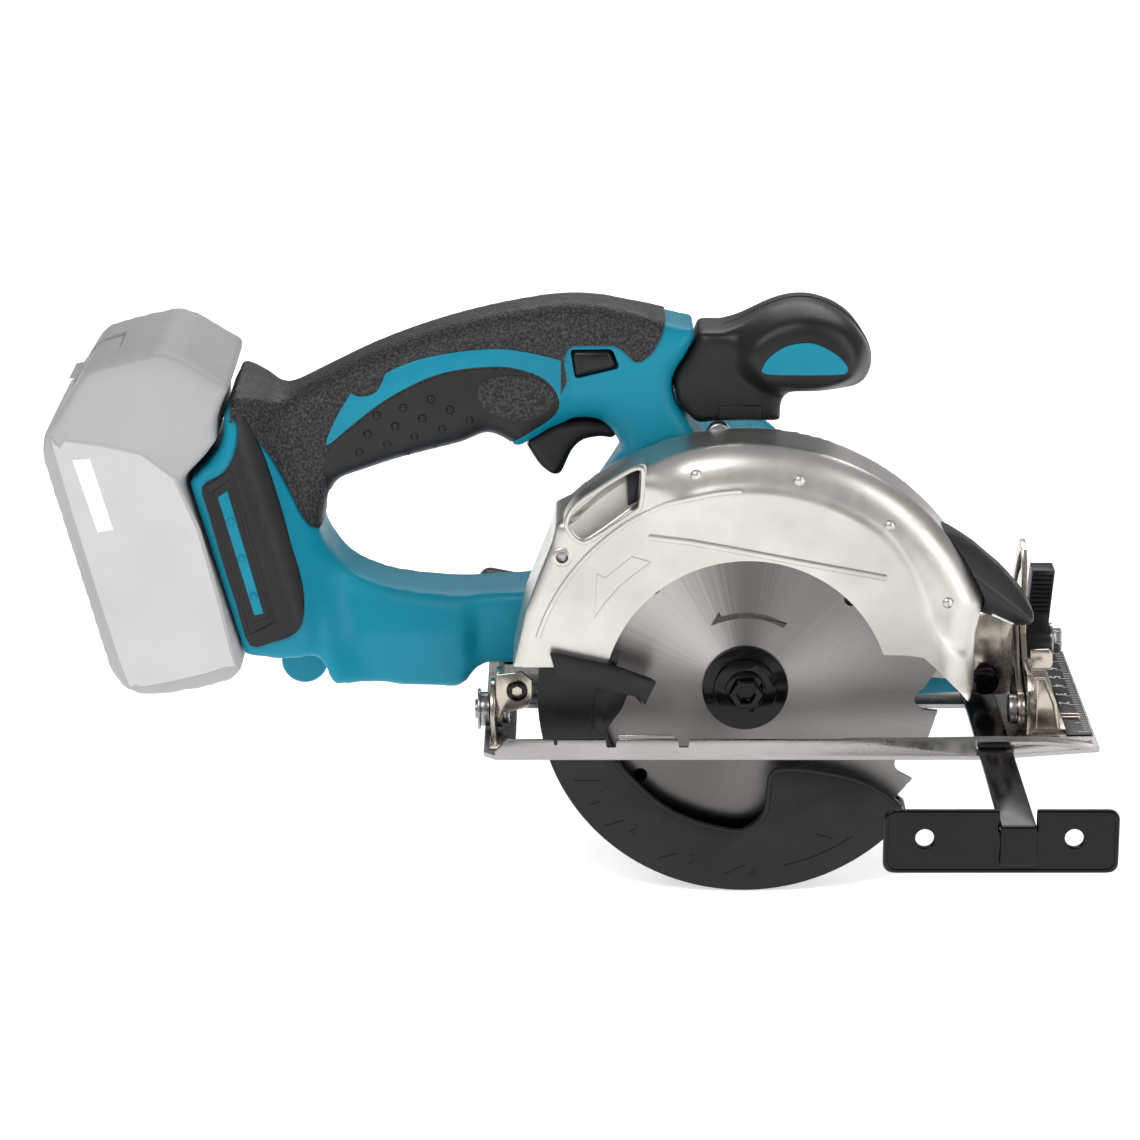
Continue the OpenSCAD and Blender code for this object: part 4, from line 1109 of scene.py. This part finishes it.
def makeBase():
    base = worn("base_plate", baseLook["edge"])
    for low, high, deep in ((-67.2, -65.0, 5.4), (-49.2, -44.8, 4.6), (-24.3, -19.9, 4.6),
                            (40.4, 42.4, 5.4)):
        notch = [(low, 9), (high, 9), (high - 0.6, deep), (low + 0.6, deep)]
        cutBy(base, eased(traced("notch", notch, -69, -64), 0.2, 1))
    lipLine = [(-44.6, 2), (-25.2, 2), (-25.2, 8.6), (-44.6, 8.6)]
    lip = eased(traced("flangeLip", lipLine, -65.6, -64.7), 0.3)
    rollLine = [(33, -66.1, 6.1), (37, -66.1, 6.2), (60, -66.0, 6.3), (86, -65.6, 6.6),
                (103, -64.4, 6.2), (113, -62.6, 4.6), (118.6, -60.6, 3.2)]
    roll = ridge("flangeRoll", rollLine, baseLook["rollRadius"], 0.8)
    skirtLine = [(91.4, -65.6), (118.4, -59.6), (119.6, -58.2), (91.4, -63.4)]
    skirt = eased(traced("cornerSkirt", skirtLine, 1.6, 4.6, "z"), 0.5)
    finished(joined("basePlate", base, lip, roll, skirt), "base", "pressed_steel",
             stands=("base_plate",), smooth=30)


def makeWornParts():
    for node, width in wornParts.items():
        held = nodes[node].material_slots[0].material
        slotName = next(name for name, made in finishes.items() if made == held)
        finished(worn(node, width), bodyOf(node), slotName, stands=(node,), smooth=30)


def makeBracketDetails():
    gusset = [(101.2, 4.6), (109.0, 4.6), (107.2, 13.6), (103.4, 22.2), (101.2, 22.2)]
    ear = [(98.4, 26.4), (105.2, 26.4), (106.2, 28), (106.0, 32), (104.8, 33.6), (98.4, 33.4)]
    beads = [ridge("gussetBead", atDepth(gusset, -46.1), 0.6, 0.9, closed=True),
             eased(traced("foldedEar", ear, -46.9, -45.3), 0.5)]
    finished(joined("quadrantBeads", *beads), "base", "nickel_steel")
    screws = []
    for spot, near, size in (((-79.6, 18.5), -47.9, 3.7), ((86, 13), -20.4, 4.8)):
        head = eased(rod("socketHead", spot, size, near, near + 2.6, sides=32), 0.5)
        screws.append(cutBy(head, rod("hexKey", spot, size * 0.52, near - 1, near + 1.4, sides=6)))
    finished(joined("socketHeads", *screws), "tilt_frame", "black_steel")
    washers = [eased(rod("washer", (-38, 9), 7.2, -93.4, -92.4, "x"), 0.3),
               eased(rod("rivet", (-38, 9), 3.4, -94.4, -93.2, "x"), 0.4)]
    finished(joined("rearPivotWasher", *washers), "tilt_frame", "machined_steel")


fenceLook = {"corner": 3.4, "rimInset": 0.9, "holeRadius": 3.05, "holes": (54.5, 103.3)}


def makeFence():
    def corner(x, z, start):
        return arcPoints((x, z), fenceLook["corner"], start, start + 90, 5)

    left = corner(44.4, 6.0, 90) + corner(44.4, -9.0, 180)
    right = corner(114.6, -9.0, 270) + corner(114.6, 6.0, 0)
    notch = [(90.9, 9.4), (90.9, 2.2), (78.9, 2.2), (78.9, 9.4)]
    plate = traced("fencePlate", left + right + notch, -144.0, -141.8)
    for x in fenceLook["holes"]:
        cutBy(plate, rod("hole", (x, -0.3), fenceLook["holeRadius"], -150, -136, sides=48))
    eased(plate, 0.7, 3)
    inset = fenceLook["rimInset"]
    rimLine = [(x + (inset if x < 80 else -inset), z + (inset if z < 0 else -inset))
               for x, z in [(77.6, 9.4)] + left + right + [(92.2, 9.4)]]
    rim = ridge("fenceRim", atDepth(rimLine, -143.9), 0.75, 0.7)
    arm = traced("fenceArm", [(79, 2.3), (90.8, 2.3), (90.8, 4.5), (79, 4.5)], -145.2, 42)
    eased(arm, 0.6, 3)
    tab = traced("fenceTab", [(79, -9.2), (90.8, -9.2), (90.8, 4.5), (79, 4.5)], -146.1, -143.8)
    eased(tab, 0.7, 3)
    finished(joined("ripFence", plate, rim, arm, tab), "fence", "black_steel",
             stands=("rip_fence",))


scaleLook = {"from": -44, "to": 50, "step": 2.0, "longTick": 4.2, "shortTick": 2.2,
             "tickHalf": 0.14, "end": 120.6, "figures": (-12, -2, 8, 18, 28), "size": 5.4}


def makeScale():
    marks = []
    end, half = scaleLook["end"], scaleLook["tickHalf"]
    count = int((scaleLook["to"] - scaleLook["from"]) / scaleLook["step"])
    for k in range(count + 1):
        y = scaleLook["from"] + k * scaleLook["step"]
        start = end - scaleLook["longTick" if k % 5 == 0 else "shortTick"]
        tick = [(start, y - half), (end, y - half), (end, y + half), (start, y + half)]
        marks.append(traced("tick", tick, 2.5, 2.56, "z"))
    for k, y in enumerate(scaleLook["figures"]):

        def place(a, b, depth):
            return (112.9 * mm + b + 0.4 * mm, (y + 1.2) * mm - a, 2.53 * mm + depth)

        marks.append(figure(str(k + 2), scaleLook["size"], 0.03, place, offset=0.09 * mm))
    finished(joined("scaleFigures", *marks), "base", "scale_black", "scale_print")
    fingers = []
    for y in (-30, -26.6):
        finger = [(111.5, y), (118.4, y), (119.2, y + 0.8), (118.4, y + 1.6), (111.5, y + 1.6)]
        fingers.append(eased(traced("marker", finger, 2.0, 3.3, "z"), 0.3))
    finished(joined("scaleMarkers", *fingers), "base", "nickel_steel")


leverLook = {"ribs": 9, "firstRib": 0.34, "ribStep": 0.07, "ribRadius": 0.75,
             "nutCentre": (15.3, 17.45)}


def makeLeverRibs():
    lever = worn("bevel_lever", 1.0)
    ribs = []
    for k in range(leverLook["ribs"]):
        t = leverLook["firstRib"] + k * leverLook["ribStep"]  # the share of the way up the lever
        spot = (10.3 - 16.3 * t - 0.2, 21.4 + 28.6 * t)
        ribs.append(rod("rib", spot, leverLook["ribRadius"], 103.6, 110.4, "x", 10))
    centre = leverLook["nutCentre"]
    nuts = [eased(rod("leverWasher", centre, 6.4, 112.0, 113.2, "x", 32), 0.3),
            eased(rod("leverNut", centre, 4.6, 113.2, 116.6, "x", 6), 0.4)]
    finished(joined("bevelLever", lever, *ribs), "bevel_clamp", "black_plastic",
             stands=("bevel_lever",))
    finished(joined("leverNuts", *nuts), "tilt_frame", "machined_steel")


def makeBladePrint():
    arrow = [(-12.3, 39.6), (-9.4, 44.8), (-8.6, 43.1)] + arcPoints(hub, 27.3, 107.5, 58.5, 12) \
        + [(14.4, 40.6), (13.0, 38.8)] + arcPoints(hub, 25.3, 59, 107, 12)
    finished(traced("bladeArrow", arrow, -38.63, -38.59), "blade_shaft", "blade_steel",
             "blade_print")


motorLook = {"centre": (-6, 48), "ventRadius": 32, "ventSize": (12, 20, 3.0), "ventY": 0.033,
             "ribs": 24, "ribRadius": 32.8, "ringRadius": 32.7, "ringsY": (52.0, 105.0),
             "screwRadius": 25.4}


def makeMotor():
    centre = motorLook["centre"]
    housing = worn("motor_housing", 1.2, segments=3)
    slots = []
    for turn in list(range(-150, -20, 13)) + list(range(35, 150, 13)):
        x, z = around(centre, motorLook["ventRadius"], turn)
        clearSelection()
        bpy.ops.mesh.primitive_cube_add(size=1, location=(x * mm, motorLook["ventY"], z * mm),
                                        rotation=(0, -math.radians(turn), 0),
                                        scale=[c * mm for c in motorLook["ventSize"]])
        bpy.ops.object.transform_apply(location=True, rotation=True, scale=True)
        slots.append(bpy.context.object)
    cutBy(housing, joined("ventCutter", *slots))
    ribs = []
    for k in range(motorLook["ribs"]):
        x, z = around(centre, motorLook["ribRadius"], k * 15 + 7)
        ribs.append(ridge("motorRib", [(x, y, z) for y in (60, 62, 99, 101)], 0.8))
    circle = arcPoints(centre, motorLook["ringRadius"], 0, 355, 71)
    rings = [ridge("motorRing", atDepth(circle, y), 0.9, closed=True)
             for y in motorLook["ringsY"]]
    finished(joined("motorHousing", housing, *ribs, *rings), "saw_head", "teal_plastic",
             stands=("motor_housing",))
    caps = [eased(rod("brushCap", (92, 48), 6.2, low, high, "x", 32), 0.7)
            for low, high in ((-40.2, -36), (24, 28.2))]
    finished(joined("brushCaps", *caps), "saw_head", "black_plastic")
    heads = [eased(rod("coverScrew", around(centre, motorLook["screwRadius"], turn), 2.4, 115.2,
                       115.98, sides=24), 0.3) for turn in (45, 135, 225, 315)]
    finished(joined("coverScrews", *heads), "saw_head", "machined_steel")


makeBase()
makeWornParts()
makeBracketDetails()
makeFence()
makeScale()
makeLeverRibs()
makeBladePrint()
makeMotor()
print("base, fence and motor made")
